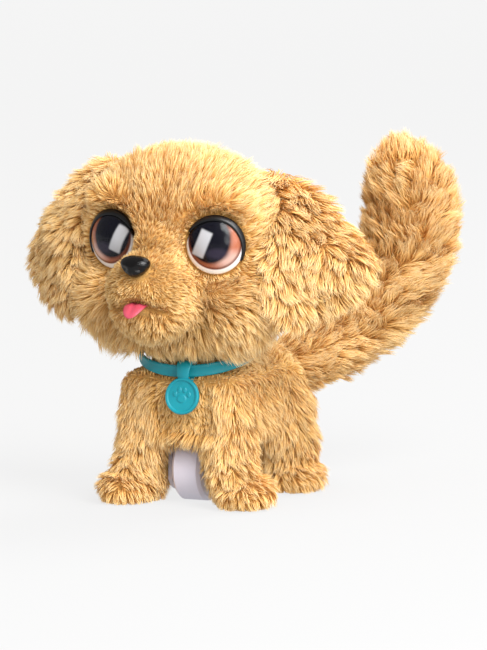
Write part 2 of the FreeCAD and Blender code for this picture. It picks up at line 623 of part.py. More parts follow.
# the tail's centre line in its own upright plane: distance out from the tail pin, height,
# slope in degrees and skin radius
TAIL_STATIONS = [
    (11, 71.5, 5, 6.5), (32, 74, 12, 16), (60, 83, 24, 24), (90, 104, 45, 27),
    (113, 135, 66, 28), (121, 166, 90, 28), (114, 189, 108, 20), (109, 204, 110, 8),
]


def tail_loft(name, thinner, first, last):
    """A loft round the tail's centre line, made thinner, with its end rings moved along it."""
    rings = []
    for k, (out, level, slope, radius) in enumerate(TAIL_STATIONS):
        shift = first if k == 0 else last if k == len(TAIL_STATIONS) - 1 else 0
        out = out + shift * math.cos(math.radians(slope))
        level = level + shift * math.sin(math.radians(slope))
        ring = make("Part::Circle", f"{name}_ring_{k}", Radius=f"{radius} - ({thinner})")
        # the ring faces along the slope: tipped back from upright, then swung to the side
        aim = f"rotation(vector(0; 0; 1); -tail_swing) * {about('x', slope - 90)}"
        place(ring, f"{out} * sin(tail_swing)", f"tail_y + {out} * cos(tail_swing)",
              str(level), aim)
        rings.append(ring)
    made = DOC.addObject("Part::Loft", name)
    made.Sections = rings
    made.Solid = True
    return made


def tail():
    outer = tail_loft("tail_outer", "0", 0, 0)
    inner = tail_loft("tail_inner", "skin_thickness", -2, -4)
    part("tail_cover", cut("tail_cover", outer, inner))
    stuffing = tail_loft("tail_stuffing", "skin_thickness + 0.6", 2, -6)
    aim = f"rotation(vector(0; 0; 1); -tail_swing) * {about('x', SIZES['rod_rise'] - 90)}"
    hole = rod("rod_space", "rod_radius + gap", "rod_start + rod_length + 1", "0", "tail_y",
               "rod_level", aim)
    part("tail_filling", cut("tail_filling", stuffing, hole))


def skull(name, grow):
    """The skull's outer form, made larger or smaller all round."""
    return ball(name, f"skull_rx + {grow}", f"skull_ry + {grow}", f"skull_rz + {grow}", "0",
                "skull_y", "skull_z")


def at_eye(made):
    """An eye's piece, drawn looking along its own +Z with +Y up, put at the left eye."""
    outwards = f"{about('z', 'eye_splay')} * {about('x', 90)}"
    return place(made, "eye_x", "eye_y", "eye_z", outwards)


def neck_and_skull():
    flange = rod("neck_disc", "neck_flange", "neck_flange_height", "0", "neck_y",
                 "case_top - wall - gap - neck_flange_height")
    column = rod("neck_column", "neck_post_radius",
                 "neck_post_top - case_top + wall + gap", "0", "neck_y",
                 "case_top - wall - gap")
    yoke = box("neck_yoke", ("-tongue_half_width", "tongue_half_width"),
               ("nod_y - tongue_half_depth", "nod_y + tongue_half_depth"),
               ("neck_post_top - 4", "yoke_top"))
    hole = rod_x("yoke_hole", "nod_pin_radius + fit_gap", "-tongue_half_width",
                 "tongue_half_width", "nod_y", "nod_z")
    part("neck_post", cut("neck_post", fuse("neck_body", flange, column, yoke), hole))
    reach = "tongue_half_width + rib_gap + rib_thickness"
    part("nod_pin", rod_x("nod_pin", "nod_pin_radius", f"-({reach})", reach, "nod_y",
                          "nod_z"))

    shell = cut("skull_shell", skull("skull_outer", "0"), skull("skull_inner", "-skull_wall"))
    neck_hole = rod("skull_neck_hole", "skull_hole", "30", "0", "neck_y - 1",
                    "skull_z - skull_rz - 5")
    peg_depth = "eye_depth + peg_length + 6"
    pegs = at_eye(group("eye_peg_holes", rod("eye_peg_run", "peg_radius + gap", peg_depth,
                                             z=f"-({peg_depth})")))
    ribs = []
    for side, low, high in (("left", "tongue_half_width + rib_gap", reach),
                            ("right", f"-({reach})", "-tongue_half_width - rib_gap")):
        ribs.append(box(f"rib_{side}", (low, high),
                        ("rib_front", "rib_back"), ("rib_bottom", "nod_z + rib_above_pin")))
    pin_hole = rod_x("rib_pin_hole", "nod_pin_radius", f"-({reach})", reach, "nod_y", "nod_z")
    inside = common("ribs", fuse("rib_pair", *ribs), skull("skull_keep", "0"))
    holed = cut("skull_holed", shell, neck_hole)
    whole = cut("skull_whole", fuse("skull_ribbed", holed, inside), pin_hole, pegs,
                mirrored("eye_peg_holes_right", pegs))
    far = "2 * skull_rx"
    front_half = box("front_half", (f"-{far}", far), (f"skull_y - {far}", "skull_y"),
                     ("0", "300"))
    back_half = box("back_half", (f"-{far}", far), ("skull_y", f"skull_y + {far}"),
                    ("0", "300"))
    part("skull_front", common("skull_front", whole, front_half))
    part("skull_back", common("skull_back", whole, back_half))


def muzzle(name, grow):
    """The muzzle's outer form, made larger all round."""
    return ball(name, f"muzzle_rx + {grow}", f"muzzle_ry + {grow}", f"muzzle_rz + {grow}", "0",
                "muzzle_y", "muzzle_z")


def head_cover():
    cranium = ball("cranium_skin", "cranium_rx", "cranium_ry", "cranium_rz", "0", "cranium_y",
                   "cranium_z")
    neck_hole = rod("head_neck_hole", "head_neck_hole", "40", "0", "neck_y - 1",
                    "skull_z - skull_rz - 30")
    pocket = at_eye(group("eye_pocket", rod("eye_pocket_run", "eye_pocket", "40",
                                            z="-eye_depth - gap"),
                          rod("peg_pocket_run", "peg_radius + gap", "20", z="-22")))
    solid = fuse("head_skin", cranium, muzzle("muzzle_skin", "0"))
    for step, tool in enumerate((skull("skull_space", "skin_gap"), neck_hole, pocket,
                                 mirrored("eye_pocket_right", pocket))):
        solid = cut(f"head_cut_{step}", solid, tool)
    part("head_cover", solid)


def dome(name, radius, height):
    """The front half of an ellipsoid, in the eye's own frame."""
    whole = ball(name + "_ball", radius, radius, height)
    front = rod(name + "_front", f"{radius} + 1", f"{height} + 1")
    return common(name, whole, front)


def face():
    base = rod("eye_base", "eye_radius", "eye_depth", z="-eye_depth")
    peg = rod("eye_peg", "peg_radius", "peg_length", z="-eye_depth - peg_length")
    eye = fuse("eye_left", dome("eye_dome", "eye_radius", "eye_dome"), base, peg)
    lens = cut("eye_lens_left",
               dome("lens_outer", "eye_radius + fit_gap + lens_wall",
                    "eye_dome + fit_gap + lens_wall"),
               dome("lens_inner", "eye_radius + fit_gap", "eye_dome + fit_gap"))
    rim = rod("lid_rim", "lid_radius", "lid_back + lid_front", "0", "lid_shift", "-lid_back")
    opening = rod("lid_opening", "eye_radius + lens_wall + 4 * fit_gap",
                  "lid_back + lid_front", "0", "0", "-lid_back")
    for node, made in (("eye", eye), ("eye_lens", lens),
                       ("eyelid", cut("eyelid_left", rim, opening))):
        part(f"{node}_left", at_eye(made))
        part(f"{node}_right", mirrored(f"{node}_right", made))
    # the nose and tongue sit on the muzzle, so their backs follow it
    nose = ball("nose_ball", "nose_rx", "nose_ry", "nose_rz", "0", "nose_y", "nose_z")
    part("nose", cut("nose", nose, muzzle("nose_seat", "gap")))
    lick = ball("tongue_ball", "lick_rx", "lick_ry", "lick_rz", "0", "lick_y", "lick_z")
    part("tongue", cut("tongue", lick, muzzle("tongue_seat", "gap")))


def ears():
    # the flap's width runs back and outwards, and its length leans outwards from the seam
    aim = f"{about('z', 'ear_yaw')} * {about('x', 'ear_lean')}"
    flap = ball("ear_left", "ear_half_width", "ear_half_thickness", "ear_half_length",
                "ear_x", "ear_y", "ear_z", aim)
    left = part("ear_left", flap)
    part("ear_right", mirrored("ear_right", left))


def collar_and_tag():
    strap = turned("collar", [("collar_inner", "-collar_height / 2"),
                              ("collar_outer", "-collar_height / 2 + lead_in"),
                              ("collar_outer", "collar_height / 2 - lead_in"),
                              ("collar_inner", "collar_height / 2")])
    part("collar", place(strap, "0", "collar_y", "collar_z", about("x", "collar_lean")))
    ring = make("Part::Torus", "tag_ring", Radius1="ring_radius", Radius2="ring_wire",
                Angle1="-180", Angle2="180", Angle3="360")
    place(ring, turn=about("y", 90))
    # the disc hangs in the tag's own frame, under the ring's centre
    plate = oval("tag_plate", "tag_half_width", "tag_half_height", "tag_thickness", "0")
    rim = oval("tag_rim_outer", "tag_half_width", "tag_half_height", "tag_edge",
               "tag_thickness")
    rim_hole = oval("tag_rim_inner", "tag_half_width - tag_border", "tag_half_height - tag_border",
                    "tag_edge", "tag_thickness")
    paw = [rod(f"tag_pad_{k}", radius, "tag_edge / 2", x, y, "tag_thickness")
           for k, (radius, x, y) in enumerate((("pad_radius", "0", "pad_y"),
                                               ("toe_radius", "-toe_x", "toe_low"),
                                               ("toe_radius", "0", "toe_high"),
                                               ("toe_radius", "toe_x", "toe_low")))]
    neck = box("tag_neck", ("-tag_neck", "tag_neck"),
               ("tag_half_height - tag_border", "tag_drop - ring_radius + 2 * ring_wire"),
               ("0", "tag_thickness"))
    hanging = fuse("tag_hanging", plate, cut("tag_rim", rim, rim_hole), neck, *paw)
    tilt = f"{about('y', '-tag_tilt')} * {about('x', 90)}"
    place(hanging, "tag_drop * sin(tag_tilt)", "-ring_radius + tag_thickness / 2",
          "-tag_drop * cos(tag_tilt)", tilt)
    tag = fuse("pet_tag", ring, hanging)
    part("pet_tag", place(tag, "0", COLLAR_FRONT_Y, COLLAR_FRONT_Z))


def oval(name, half_width, half_height, thickness, level):
    """An oval plate in the XY plane: a round one stretched by an elliptic outline."""
    ellipse = make("Part::Ellipse", name + "_outline", MajorRadius=half_height,
                   MinorRadius=half_width)
    place(ellipse, z=level, turn=about("z", 90))
    made = DOC.addObject("Part::Extrusion", name)
    made.Base = ellipse
    made.DirMode = "Custom"
    made.Dir = (0, 0, 1)
    made.Solid = True
    made.setExpression("LengthFwd", sized(thickness))
    return made


def wire_run(name, corners):
    """A lead of round wire through its corners, given as sheet names or numbers."""
    points = [FreeCAD.Vector(*corner) for corner in corners]
    path = Part.makePolygon(points)
    start = Part.Wire([Part.Edge(Part.Circle(points[0], points[1] - points[0],
                                             SIZES["wire_radius"]))])
    sweep = Part.BRepOffsetAPI.MakePipeShell(path)
    sweep.setTransitionMode(1)
    sweep.add(start)
    sweep.build()
    sweep.makeSolid()
    return sweep.shape()


def wiring():
    size = SIZES
    below_board = size["board_level"] - size["wire_radius"] - 0.3
    motor_back = size["motor_face"] - size["motor_length"]
    motor_leads = []
    for k in range(2):
        y = size["wheel_y"] - 6 - 6 * k
        motor_leads.append(wire_run("motor_lead", [
            (motor_back - 0.3, y, 55), (motor_back - 5, y, 55),
            (motor_back - 5, y, below_board)]))
    battery_leads = []
    for side in (-1, 1):
        contact_face = (size["cell_length"] + size["nub_length"]) / 2 + size["contact_thickness"]
        x = side * (contact_face + size["wire_radius"] + size["fit_gap"])
        y = size["cell_first_y"] - size["cell_radius"] + 2
        battery_leads.append(wire_run("battery_lead", [
            (x, y, 52), (x, y, 63), (x, y - 4, below_board)]))
    for node, leads in (("motor_leads", motor_leads), ("battery_leads", battery_leads)):
        shaped(node, Part.Compound(leads), FreeCAD.Placement())


def check_and_export():
    DOC.recompute()
    for made in DOC.Objects:
        if "Invalid" in made.State or "Error" in made.State:
            raise RuntimeError(f"{made.Label} did not build: {made.State}")
    for node, made in PARTS.items():
        if made.Shape.isNull() or not made.Shape.isValid() or not made.Shape.Solids:
            raise RuntimeError(f"{node} is not a valid solid")
    os.makedirs("parts", exist_ok=True)
    for node, made in PARTS.items():
        made.Shape.exportStep(f"parts/{node}.step")


fill_sheet()
body_cover()
legs()
chassis_lower()
chassis_upper()
fasteners()
batteries()
battery_door()
electronics()
drive()
drive_gears()
tail_drive()
tail()
neck_and_skull()
head_cover()
face()
ears()
collar_and_tag()
wiring()
check_and_export()
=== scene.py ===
"""The looks of the plush puppy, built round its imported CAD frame.

Lengths in this script are millimetres, and become metres when a mesh is made. The axes are
the frame's: Z is up, the puppy faces -Y and +X is its left side.
"""

import json
import math

import bmesh
import bpy
import numpy as np
from mathutils import Matrix, Vector
from mathutils.kdtree import KDTree


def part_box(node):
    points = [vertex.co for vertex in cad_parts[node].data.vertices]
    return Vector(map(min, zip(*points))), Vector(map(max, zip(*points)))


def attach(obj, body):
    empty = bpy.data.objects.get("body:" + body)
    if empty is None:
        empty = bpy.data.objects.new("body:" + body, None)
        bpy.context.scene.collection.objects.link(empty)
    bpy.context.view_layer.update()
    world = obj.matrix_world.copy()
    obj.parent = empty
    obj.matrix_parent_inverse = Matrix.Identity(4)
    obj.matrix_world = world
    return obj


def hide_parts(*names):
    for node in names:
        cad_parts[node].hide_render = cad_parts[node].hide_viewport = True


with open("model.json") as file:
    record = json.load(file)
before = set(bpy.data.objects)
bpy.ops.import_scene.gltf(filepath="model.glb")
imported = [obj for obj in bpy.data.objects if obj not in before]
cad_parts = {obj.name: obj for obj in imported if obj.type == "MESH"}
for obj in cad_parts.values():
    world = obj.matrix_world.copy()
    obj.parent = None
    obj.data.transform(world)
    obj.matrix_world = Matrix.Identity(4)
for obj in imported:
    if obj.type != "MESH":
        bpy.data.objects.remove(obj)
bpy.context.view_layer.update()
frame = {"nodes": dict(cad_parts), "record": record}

MM = 0.001
UP = np.array([0.0, 0.0, 1.0])
# each strand's shade in this map is partly a random tone and partly painted light and shade
SHADE_MAP = "OFBake"  # the UV layer that holds each strand's shade and place along it


def box(node):
    """(lowest corner, highest corner) of a CAD node in millimetres."""
    low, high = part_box(node)
    return np.array(low) / MM, np.array(high) / MM


# places read from the frame
head_low, head_high = box("head_cover")
CRANIUM = np.array([0.0, head_high[1] - 47, head_high[2] - 60])
MUZZLE = np.array([0.0, head_low[1] + 27, head_low[2] + 35])
lens_low, lens_high = box("eye_lens_left")
EYE_SPLAY = math.radians(18)
EYE_RADIUS = (lens_high[2] - lens_low[2]) / 2
EYE = np.array([(lens_low[0] + lens_high[0]) / 2,
                lens_high[1] - EYE_RADIUS * math.sin(EYE_SPLAY),
                (lens_low[2] + lens_high[2]) / 2 - 1.2])
nose_low, nose_high = box("nose")
NOSE = np.array([0.0, nose_low[1] + 7.5, (nose_low[2] + nose_high[2]) / 2])
tongue_low, tongue_high = box("tongue")
MOUTH = (tongue_low + tongue_high) / 2
collar_low, collar_high = box("collar")
COLLAR = (collar_low + collar_high) / 2
COLLAR_LEAN = math.radians(16)
COLLAR_AXIS = np.array([0.0, -math.sin(COLLAR_LEAN), math.cos(COLLAR_LEAN)])
tag_low, tag_high = box("pet_tag")
case_low, case_high = box("chassis_lower")
_, upper_high = box("chassis_upper")
pin_low, pin_high = box("tail_pin")
TAIL_PIN = (pin_low + pin_high) / 2
TAIL_SWING = math.radians(43)


# ---- materials ----

def tint(text, scale=1.0):
    """A linear colour from six hex digits."""
    parts = [int(text[k:k + 2], 16) / 255 for k in (0, 2, 4)]
    linear = [c / 12.92 if c <= 0.04045 else ((c + 0.055) / 1.055) ** 2.4 for c in parts]
    return (*[min(1.0, c * scale) for c in linear], 1.0)


class Tree:
    """A material or world under construction, with short names for its nodes."""

    def __init__(self, name, kind=bpy.data.materials):
        self.made = kind.new(name)
        self.made.use_nodes = True
        self.nodes = self.made.node_tree.nodes
        self.links = self.made.node_tree.links
        self.nodes.clear()

    def add(self, kind, inputs=None, **settings):
        node = self.nodes.new(kind)
        for key, value in settings.items():
            setattr(node, key, value)
        for key, value in (inputs or {}).items():
            self.feed(node.inputs[key], value)
        return node

    def feed(self, socket, value):
        if isinstance(value, bpy.types.NodeSocket):
            self.links.new(value, socket)
        else:
            socket.default_value = value

    def place(self, stretch=(1, 1, 1)):
        """The piece's own space in metres, stretched along its axes."""
        here = self.add("ShaderNodeTexCoord").outputs["Object"]
        return self.add("ShaderNodeMapping", {"Vector": here, "Scale": stretch}).outputs[0]

    def noise(self, place, scale, detail=3.0):
        settings = {"Vector": place, "Scale": scale, "Detail": detail}
        return self.add("ShaderNodeTexNoise", settings).outputs["Fac"]

    def math(self, operation, first, second=0.0):
        return self.add("ShaderNodeMath", {0: first, 1: second},
                        operation=operation).outputs[0]

    def span(self, value, low, high, to_low=0.0, to_high=1.0):
        """value mapped smoothly from low..high to to_low..to_high."""
        return self.add("ShaderNodeMapRange", {
            "Value": value, "From Min": low, "From Max": high, "To Min": to_low,
            "To Max": to_high}, interpolation_type="SMOOTHSTEP").outputs[0]

    def mix(self, share, first, second, blend="MIX"):
        node = self.add("ShaderNodeMix", data_type="RGBA", blend_type=blend)
        self.feed(node.inputs[0], share)
        self.feed(node.inputs[6], first)
        self.feed(node.inputs[7], second)
        return node.outputs[2]

    def ramp(self, value, stops):
        node = self.add("ShaderNodeValToRGB", {"Fac": value})
        elements = node.color_ramp.elements
        while len(elements) < len(stops):
            elements.new(0.5)
        for element, (at, colour) in zip(elements, stops):
            element.position = at
            element.color = colour
        return node.outputs["Color"]

    def bump(self, height, depth):
        return self.add("ShaderNodeBump", {"Height": height, "Distance": depth * MM,
                                           "Strength": 1.0}).outputs["Normal"]

    def principled(self, **inputs):
        names = {key.replace("_", " "): value for key, value in inputs.items()}
        shader = self.add("ShaderNodeBsdfPrincipled", names)
        return self.finish(shader.outputs[0])

    def finish(self, shader, output="ShaderNodeOutputMaterial"):
        self.add(output, {"Surface": shader})
        return self.made


def moulded(name, colour, roughness=0.45, metallic=0.0, mottle=0.05, grain=1400.0,
            relief=0.03, stretch=(1, 1, 1)):
    """A hard surface whose colour, roughness and relief vary with noise."""
    tree = Tree(name)
    place = tree.place(stretch)
    fine = tree.noise(place, grain)
    broad = tree.noise(place, grain / 25, 2.0)
    shade = tree.mix(broad, tint(colour, 1 - mottle), tint(colour, 1 + mottle))
    return tree.principled(
        Base_Color=shade, Metallic=metallic,
        Roughness=tree.span(fine, 0.3, 0.7, roughness - 0.07, roughness + 0.07),
        Normal=tree.bump(fine, relief))


def fur_material():
    """Each strand reads its shade across the map, a random tone with painted light and shade in
    it, and its place from root to tip up it.
    """
    tree = Tree("long_pile")
    held = tree.add("ShaderNodeUVMap", uv_map=SHADE_MAP).outputs[0]
    spot = tree.add("ShaderNodeSeparateXYZ", {0: held})
    # darker toward the root: painted shade deep in the pile, lightening toward the tips
    along = tree.ramp(spot.outputs["Y"], [
        (0.0, tint("D09A50")), (0.35, tint("EAB566")), (0.7, tint("FBD189")),
        (1.0, tint("FFE8B8"))])
    # the shade across the map darkens a strand: partly a random tone, partly painted light and
    # shade
    shade = tree.ramp(spot.outputs["X"], [
        (0.0, (0.70, 0.65, 0.57, 1)), (0.35, (0.91, 0.89, 0.86, 1)), (0.65, (1, 1, 1, 1)),
        (1.0, (1, 1, 1, 1))])
    return tree.principled(Base_Color=tree.mix(1.0, along, shade, "MULTIPLY"),
                           Roughness=0.6, Specular_IOR_Level=0.22, Sheen_Weight=0.08,
                           Sheen_Roughness=0.5)


def backing_material():
    """The knitted ground the pile stands on."""
    tree = Tree("pile_ground")
    place = tree.place()
    patches = tree.noise(place, 60.0, 2.0)
    fine = tree.noise(place, 900.0)
    colour = tree.mix(patches, tint("D09A48"), tint("E2AF5E"))
    return tree.principled(Base_Color=tree.mix(fine, colour, tint("A97A3E")),
                           Roughness=0.85, Sheen_Weight=0.3, Normal=tree.bump(fine, 0.6))


def vinyl(name, dark, light, patch, grain=2200.0, roughness=(0.34, 0.5), scatter=0.1,
          depth=1.5, relief=0.05):
    """A soft moulding that scatters a share of the light to some depth. patch is the
    scale and detail of its colour's change."""
    tree = Tree(name)
    place = tree.place()
    broad = tree.noise(place, *patch)
    fine = tree.noise(place, grain)
    return tree.principled(
        Base_Color=tree.mix(broad, tint(dark), tint(light)),
        Roughness=tree.span(fine, 0.3, 0.7, *roughness), Subsurface_Weight=scatter,
        Subsurface_Scale=depth * MM, Normal=tree.bump(fine, relief))


FUR = fur_material()
GROUND = backing_material()
TEAL = vinyl("teal_vinyl", "0A8796", "12A5B4", (70.0, 2.0))


# ---- mesh helpers ----

def unit(rows):
    """Rows of vectors, each made one long."""
    return rows / np.maximum(np.linalg.norm(rows, axis=-1, keepdims=True), 1e-9)


def ease(value, low, high):
    """0 below low, 1 above high, and smooth between them."""
    share = np.clip((value - low) / (high - low), 0, 1)
    return share * share * (3 - 2 * share)


def placed(name, data):
    """A new object in the scene."""
    made = bpy.data.objects.new(name, data)
    bpy.context.scene.collection.objects.link(made)
    return made


def solid(name, points, faces, material, body, slot, *nodes):
    """A new piece from points in millimetres, which rides on a body and stands for nodes."""
    mesh = bpy.data.meshes.new(name)
    mesh.from_pydata((np.asarray(points) * MM).tolist(), [], faces)
    mesh.materials.append(material)
    mesh.polygons.foreach_set("use_smooth", [True] * len(mesh.polygons))
    made = placed(name, mesh)
    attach(made, body)
    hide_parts(*nodes)
    return made


def shaped(*details, gap=0.02):
    """A solid whose points within a gap are joined, and whose faces all turn outward."""
    made = solid(*details)
    clean = bmesh.new()
    clean.from_mesh(made.data)
    bmesh.ops.remove_doubles(clean, verts=clean.verts, dist=gap * MM)
    bmesh.ops.recalc_face_normals(clean, faces=clean.faces)
    clean.to_mesh(made.data)
    clean.free()
    return made


def angles(count):
    """Angles evenly round one turn."""
    return [2 * math.pi * k / count for k in range(count)]


def between(p0, p1, p2, p3, t):
    """A point on the smooth curve through four points, from the second to the third."""
    return 0.5 * (2 * p1 + (p2 - p0) * t + (2 * p0 - 5 * p1 + 4 * p2 - p3) * t ** 2
                  + (3 * p1 - p0 - 3 * p2 + p3) * t ** 3)


def loop_faces(count, size, first=0):
    """The faces of a ring of closed sections of so many points each."""
    faces = []
    for k in range(count):
        here, following = first + k * size, first + (k + 1) % count * size
        for j in range(size):
            onward = (j + 1) % size
            faces.append((here + j, here + onward, following + onward, following + j))
    return faces


def tube_faces(rings, around, capped=True):
    """The faces of a grid of rings that closes on itself round each ring."""
    faces = []
    for ring in range(rings - 1):
        for k in range(around):
            following = (k + 1) % around
            low, high = ring * around, (ring + 1) * around
            faces.append((low + k, low + following, high + following, high + k))
    if capped:
        faces.append(tuple(reversed(range(around))))
        faces.append(tuple((rings - 1) * around + k for k in range(around)))
    return faces


def skin_mesh(blobs, voxel, smoothing, block=None):
    """(points, faces) in millimetres of one closed, softened skin round overlapping
    ellipsoids, each a (centre, half sizes) pair, and a block with rounded edges."""
    shell = bmesh.new()
    if block:
        low, high, edge = block
        middle, size = (low + high) / 2 * MM, (high - low) * MM
        made = bmesh.ops.create_cube(shell, size=1.0, matrix=Matrix.Translation(
            Vector(middle)) @ Matrix.Diagonal((*size, 1.0)))
        bmesh.ops.bevel(shell, geom=made["verts"] + shell.edges[:], offset=edge * MM,
                        segments=4, profile=0.5, affect="EDGES")
    for centre, radii in blobs:
        where = Matrix.Translation(Vector(centre) * MM) @ Matrix.Diagonal(
            (*[radius * MM for radius in radii], 1.0))
        bmesh.ops.create_icosphere(shell, subdivisions=4, radius=1.0, matrix=where)
    mesh = bpy.data.meshes.new("skin_work")
    shell.to_mesh(mesh)
    shell.free()
    work = placed("skin_work", mesh)
    remesh = work.modifiers.new("union", "REMESH")
    remesh.mode = "VOXEL"
    remesh.voxel_size = voxel * MM
    soften = work.modifiers.new("soften", "SMOOTH")
    soften.factor = 0.5
    soften.iterations = smoothing
    seen = work.evaluated_get(bpy.context.evaluated_depsgraph_get()).to_mesh()
    points = np.array([v.co for v in seen.vertices]) / MM
    faces = [tuple(p.vertices) for p in seen.polygons]
    bpy.data.objects.remove(work)
    bpy.data.meshes.remove(mesh)
    return points, faces


def read_skin(made):
    """(points in millimetres, normals, triangles) of a piece."""
    mesh = made.data
    mesh.calc_loop_triangles()
    points = np.empty(len(mesh.vertices) * 3)
    mesh.vertices.foreach_get("co", points)
    normals = np.empty(len(mesh.vertices) * 3)
    mesh.vertices.foreach_get("normal", normals)
    triangles = np.empty(len(mesh.loop_triangles) * 3, int)
    mesh.loop_triangles.foreach_get("vertices", triangles)
    return points.reshape(-1, 3) / MM, normals.reshape(-1, 3), triangles.reshape(-1, 3)


# ---- fur ----

RINGS = np.array([0.0, 0.38, 0.72, 1.0])  # where a strand's cross sections lie along it
TAPER = np.array([1.0, 0.9, 0.6])  # how wide the strand is at each but the last, its tip
STRAND_FACES = np.array([(0, 1, 3), (0, 3, 2), (2, 3, 5), (2, 5, 4), (4, 5, 6)])
STRAND_POINTS = 7
STRANDS_PER_PIECE = 39000  # under 200,000 triangles a piece
FLOOR_GAP = 0.4  # how far the lowest strands stay above the floor
ROOT_DEPTH = 0.6  # how deep a strand starts under the skin
SHORTEST, LONGEST = 0.78, 1.12  # a strand's length beside the coat's
MOST_STRETCH = 1.2  # how much longer its lock may draw it


def scatter(skin, per_area, draw):
    """Roots spread evenly over a skin, with the skin's normal at each."""
    points, normals, triangles = skin
    a, b, c = (points[triangles[:, k]] for k in range(3))
    area = np.linalg.norm(np.cross(b - a, c - a), axis=1) / 2
    count = int(area.sum() * per_area)
    chosen = draw.choice(len(area), count, p=area / area.sum())
    first = np.sqrt(draw.random(count))
    second = draw.random(count)
    weights = np.stack([1 - first, first * (1 - second), first * second], 1)
    corners = triangles[chosen]
    root = (points[corners] * weights[:, :, None]).sum(1)
    normal = unit((normals[corners] * weights[:, :, None]).sum(1))
    return root, normal


def drift(points, reach, draw):
    """A slow change between about -1 and 1 over the skin."""
    total = np.zeros(len(points))
    for _ in range(4):
        way = unit(draw.normal(size=3))
        total += np.sin(points @ way * (2 * math.pi / reach) + draw.uniform(0, 6.3))
    return total / 2.5


def grow(name, made, body, coat, seed, per_area=1.3, strands_per_lock=28, width=0.55,
         wander=0.35):
    """Stands a pile of tapered, bent strands on a skin, drawn together in locks. coat gives
    each root's cover (0 bare to 1 full), length, comb direction, lift off the skin in degrees,
    gather (how far a lock draws together) and shade, which is painted light and shade: it
    lightens the strands' colour on lit tops and darkens it in folds, underneath and on shaded
    sides."""
    draw = np.random.default_rng(seed)
    root, normal = scatter(read_skin(made), per_area, draw)
    pile = coat(root, normal)
    kept = np.flatnonzero(draw.random(len(root)) < pile["cover"])
    kept = kept[np.argsort(root[kept, 2], kind="stable")]  # the lowest first
    root, normal = root[kept], normal[kept]
    pile = {key: value[kept] for key, value in pile.items()}
    count = len(root)

    comb = unit(pile["comb"] - (pile["comb"] * normal).sum(1)[:, None] * normal)
    across = np.cross(normal, comb)
    turn = draw.normal(0, wander, count) + 0.5 * drift(root, 34, draw)
    lay = comb * np.cos(turn)[:, None] + across * np.sin(turn)[:, None]
    lift = np.radians(np.clip(pile["lift"] + draw.normal(0, 9, count), 5, 88))
    way = normal * np.sin(lift)[:, None] + lay * np.cos(lift)[:, None]
    length = pile["length"] * draw.uniform(SHORTEST, LONGEST, count)
    tip = root + way * length[:, None]

    leaders = draw.choice(count, max(1, count // strands_per_lock), replace=False)
    tree = KDTree(len(leaders))
    for k, leader in enumerate(leaders):
        tree.insert(root[leader], k)
    tree.balance()
    lock = np.array([tree.find(point)[1] for point in root])
    lock_length = draw.uniform(0.85, 1.2, len(leaders))
    lead_tip = root[leaders] + (tip - root)[leaders] * lock_length[:, None]
    gather = np.clip(pile["gather"] * draw.uniform(0.75, 1.2, count), 0, 0.95)
    tip = tip + (lead_tip[lock] - tip) * gather[:, None]
    reach = tip - root
    stretch = np.linalg.norm(reach, axis=1) / (MOST_STRETCH * length)
    tip = root + reach / np.maximum(stretch, 1)[:, None]
    elbow = root + (normal * 0.8 + lay * 0.35) * (length * 0.5)[:, None]

    rings = []
    for place in RINGS:
        rings.append(root * (1 - place) ** 2 + elbow * 2 * place * (1 - place)
                     + tip * place ** 2)
    middle = np.stack(rings, 1)
    middle[:, 0] -= normal * ROOT_DEPTH
    along = unit(tip - root)
    side = unit(np.cross(along, normal + 0.3 * across))
    twist = draw.normal(0, 0.6, count)[:, None]
    side = side * np.cos(twist) + np.cross(side, along) * np.sin(twist)
    wide = width * draw.uniform(0.75, 1.25, count)
    points = np.empty((count, STRAND_POINTS, 3))
    for k, share in enumerate(TAPER):
        half = side * (wide * share / 2)[:, None]
        points[:, 2 * k] = middle[:, k] - half
        points[:, 2 * k + 1] = middle[:, k] + half
    points[:, 6] = middle[:, 3]
    points[:, :, 2] = np.maximum(points[:, :, 2], FLOOR_GAP)

    tone = 0.5 + draw.normal(0, 0.16, len(leaders))[lock] + draw.normal(0, 0.08, count)
    # the coat's shade adds painted light and shade to each strand's random tone
    tone = np.clip(tone + 0.1 * drift(root, 60, draw) + pile["shade"], 0.02, 0.98)
    map_x = np.repeat(tone[:, None], STRAND_POINTS, 1)
    map_x += np.array([-1, 1, -1, 1, -1, 1, 0]) * 0.0015
    map_y = np.broadcast_to(np.array([0.01, 0.01, 0.38, 0.38, 0.72, 0.72, 0.99]),
                            map_x.shape)
    spots = np.stack([map_x, map_y], 2)

    parts = math.ceil(count / STRANDS_PER_PIECE)
    edges = np.linspace(0, count, parts + 1).astype(int)
    for k in range(parts):
        chosen = slice(edges[k], edges[k + 1])
        strand_piece(f"{name}_{k + 1}", points[chosen], spots[chosen], body)


def strand_piece(name, points, spots, body):
    """One piece of fur from its strands' points and their places in the shade map."""
    count = len(points)
    starts = np.arange(count)[:, None, None] * STRAND_POINTS
    corners = (STRAND_FACES[None] + starts).reshape(-1)
    mesh = bpy.data.meshes.new(name)
    mesh.vertices.add(count * STRAND_POINTS)
    mesh.vertices.foreach_set("co", (points * MM).astype(np.float32).ravel())
    mesh.loops.add(len(corners))
    mesh.loops.foreach_set("vertex_index", corners.astype(np.int32))
    mesh.polygons.add(len(corners) // 3)
    mesh.polygons.foreach_set("loop_start", np.arange(0, len(corners), 3, dtype=np.int32))
    layer = mesh.uv_layers.new(name=SHADE_MAP)
    layer.data.foreach_set("uv", spots.reshape(-1, 2)[corners].astype(np.float32).ravel())
    mesh.update(calc_edges=True)
    mesh.polygons.foreach_set("use_smooth", [True] * len(mesh.polygons))
    mesh.materials.append(FUR)
    made = placed(name, mesh)
    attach(made, body)


def even(root, value):
    """One value for every root."""
    return np.full(len(root), float(value))


# ---- head ----

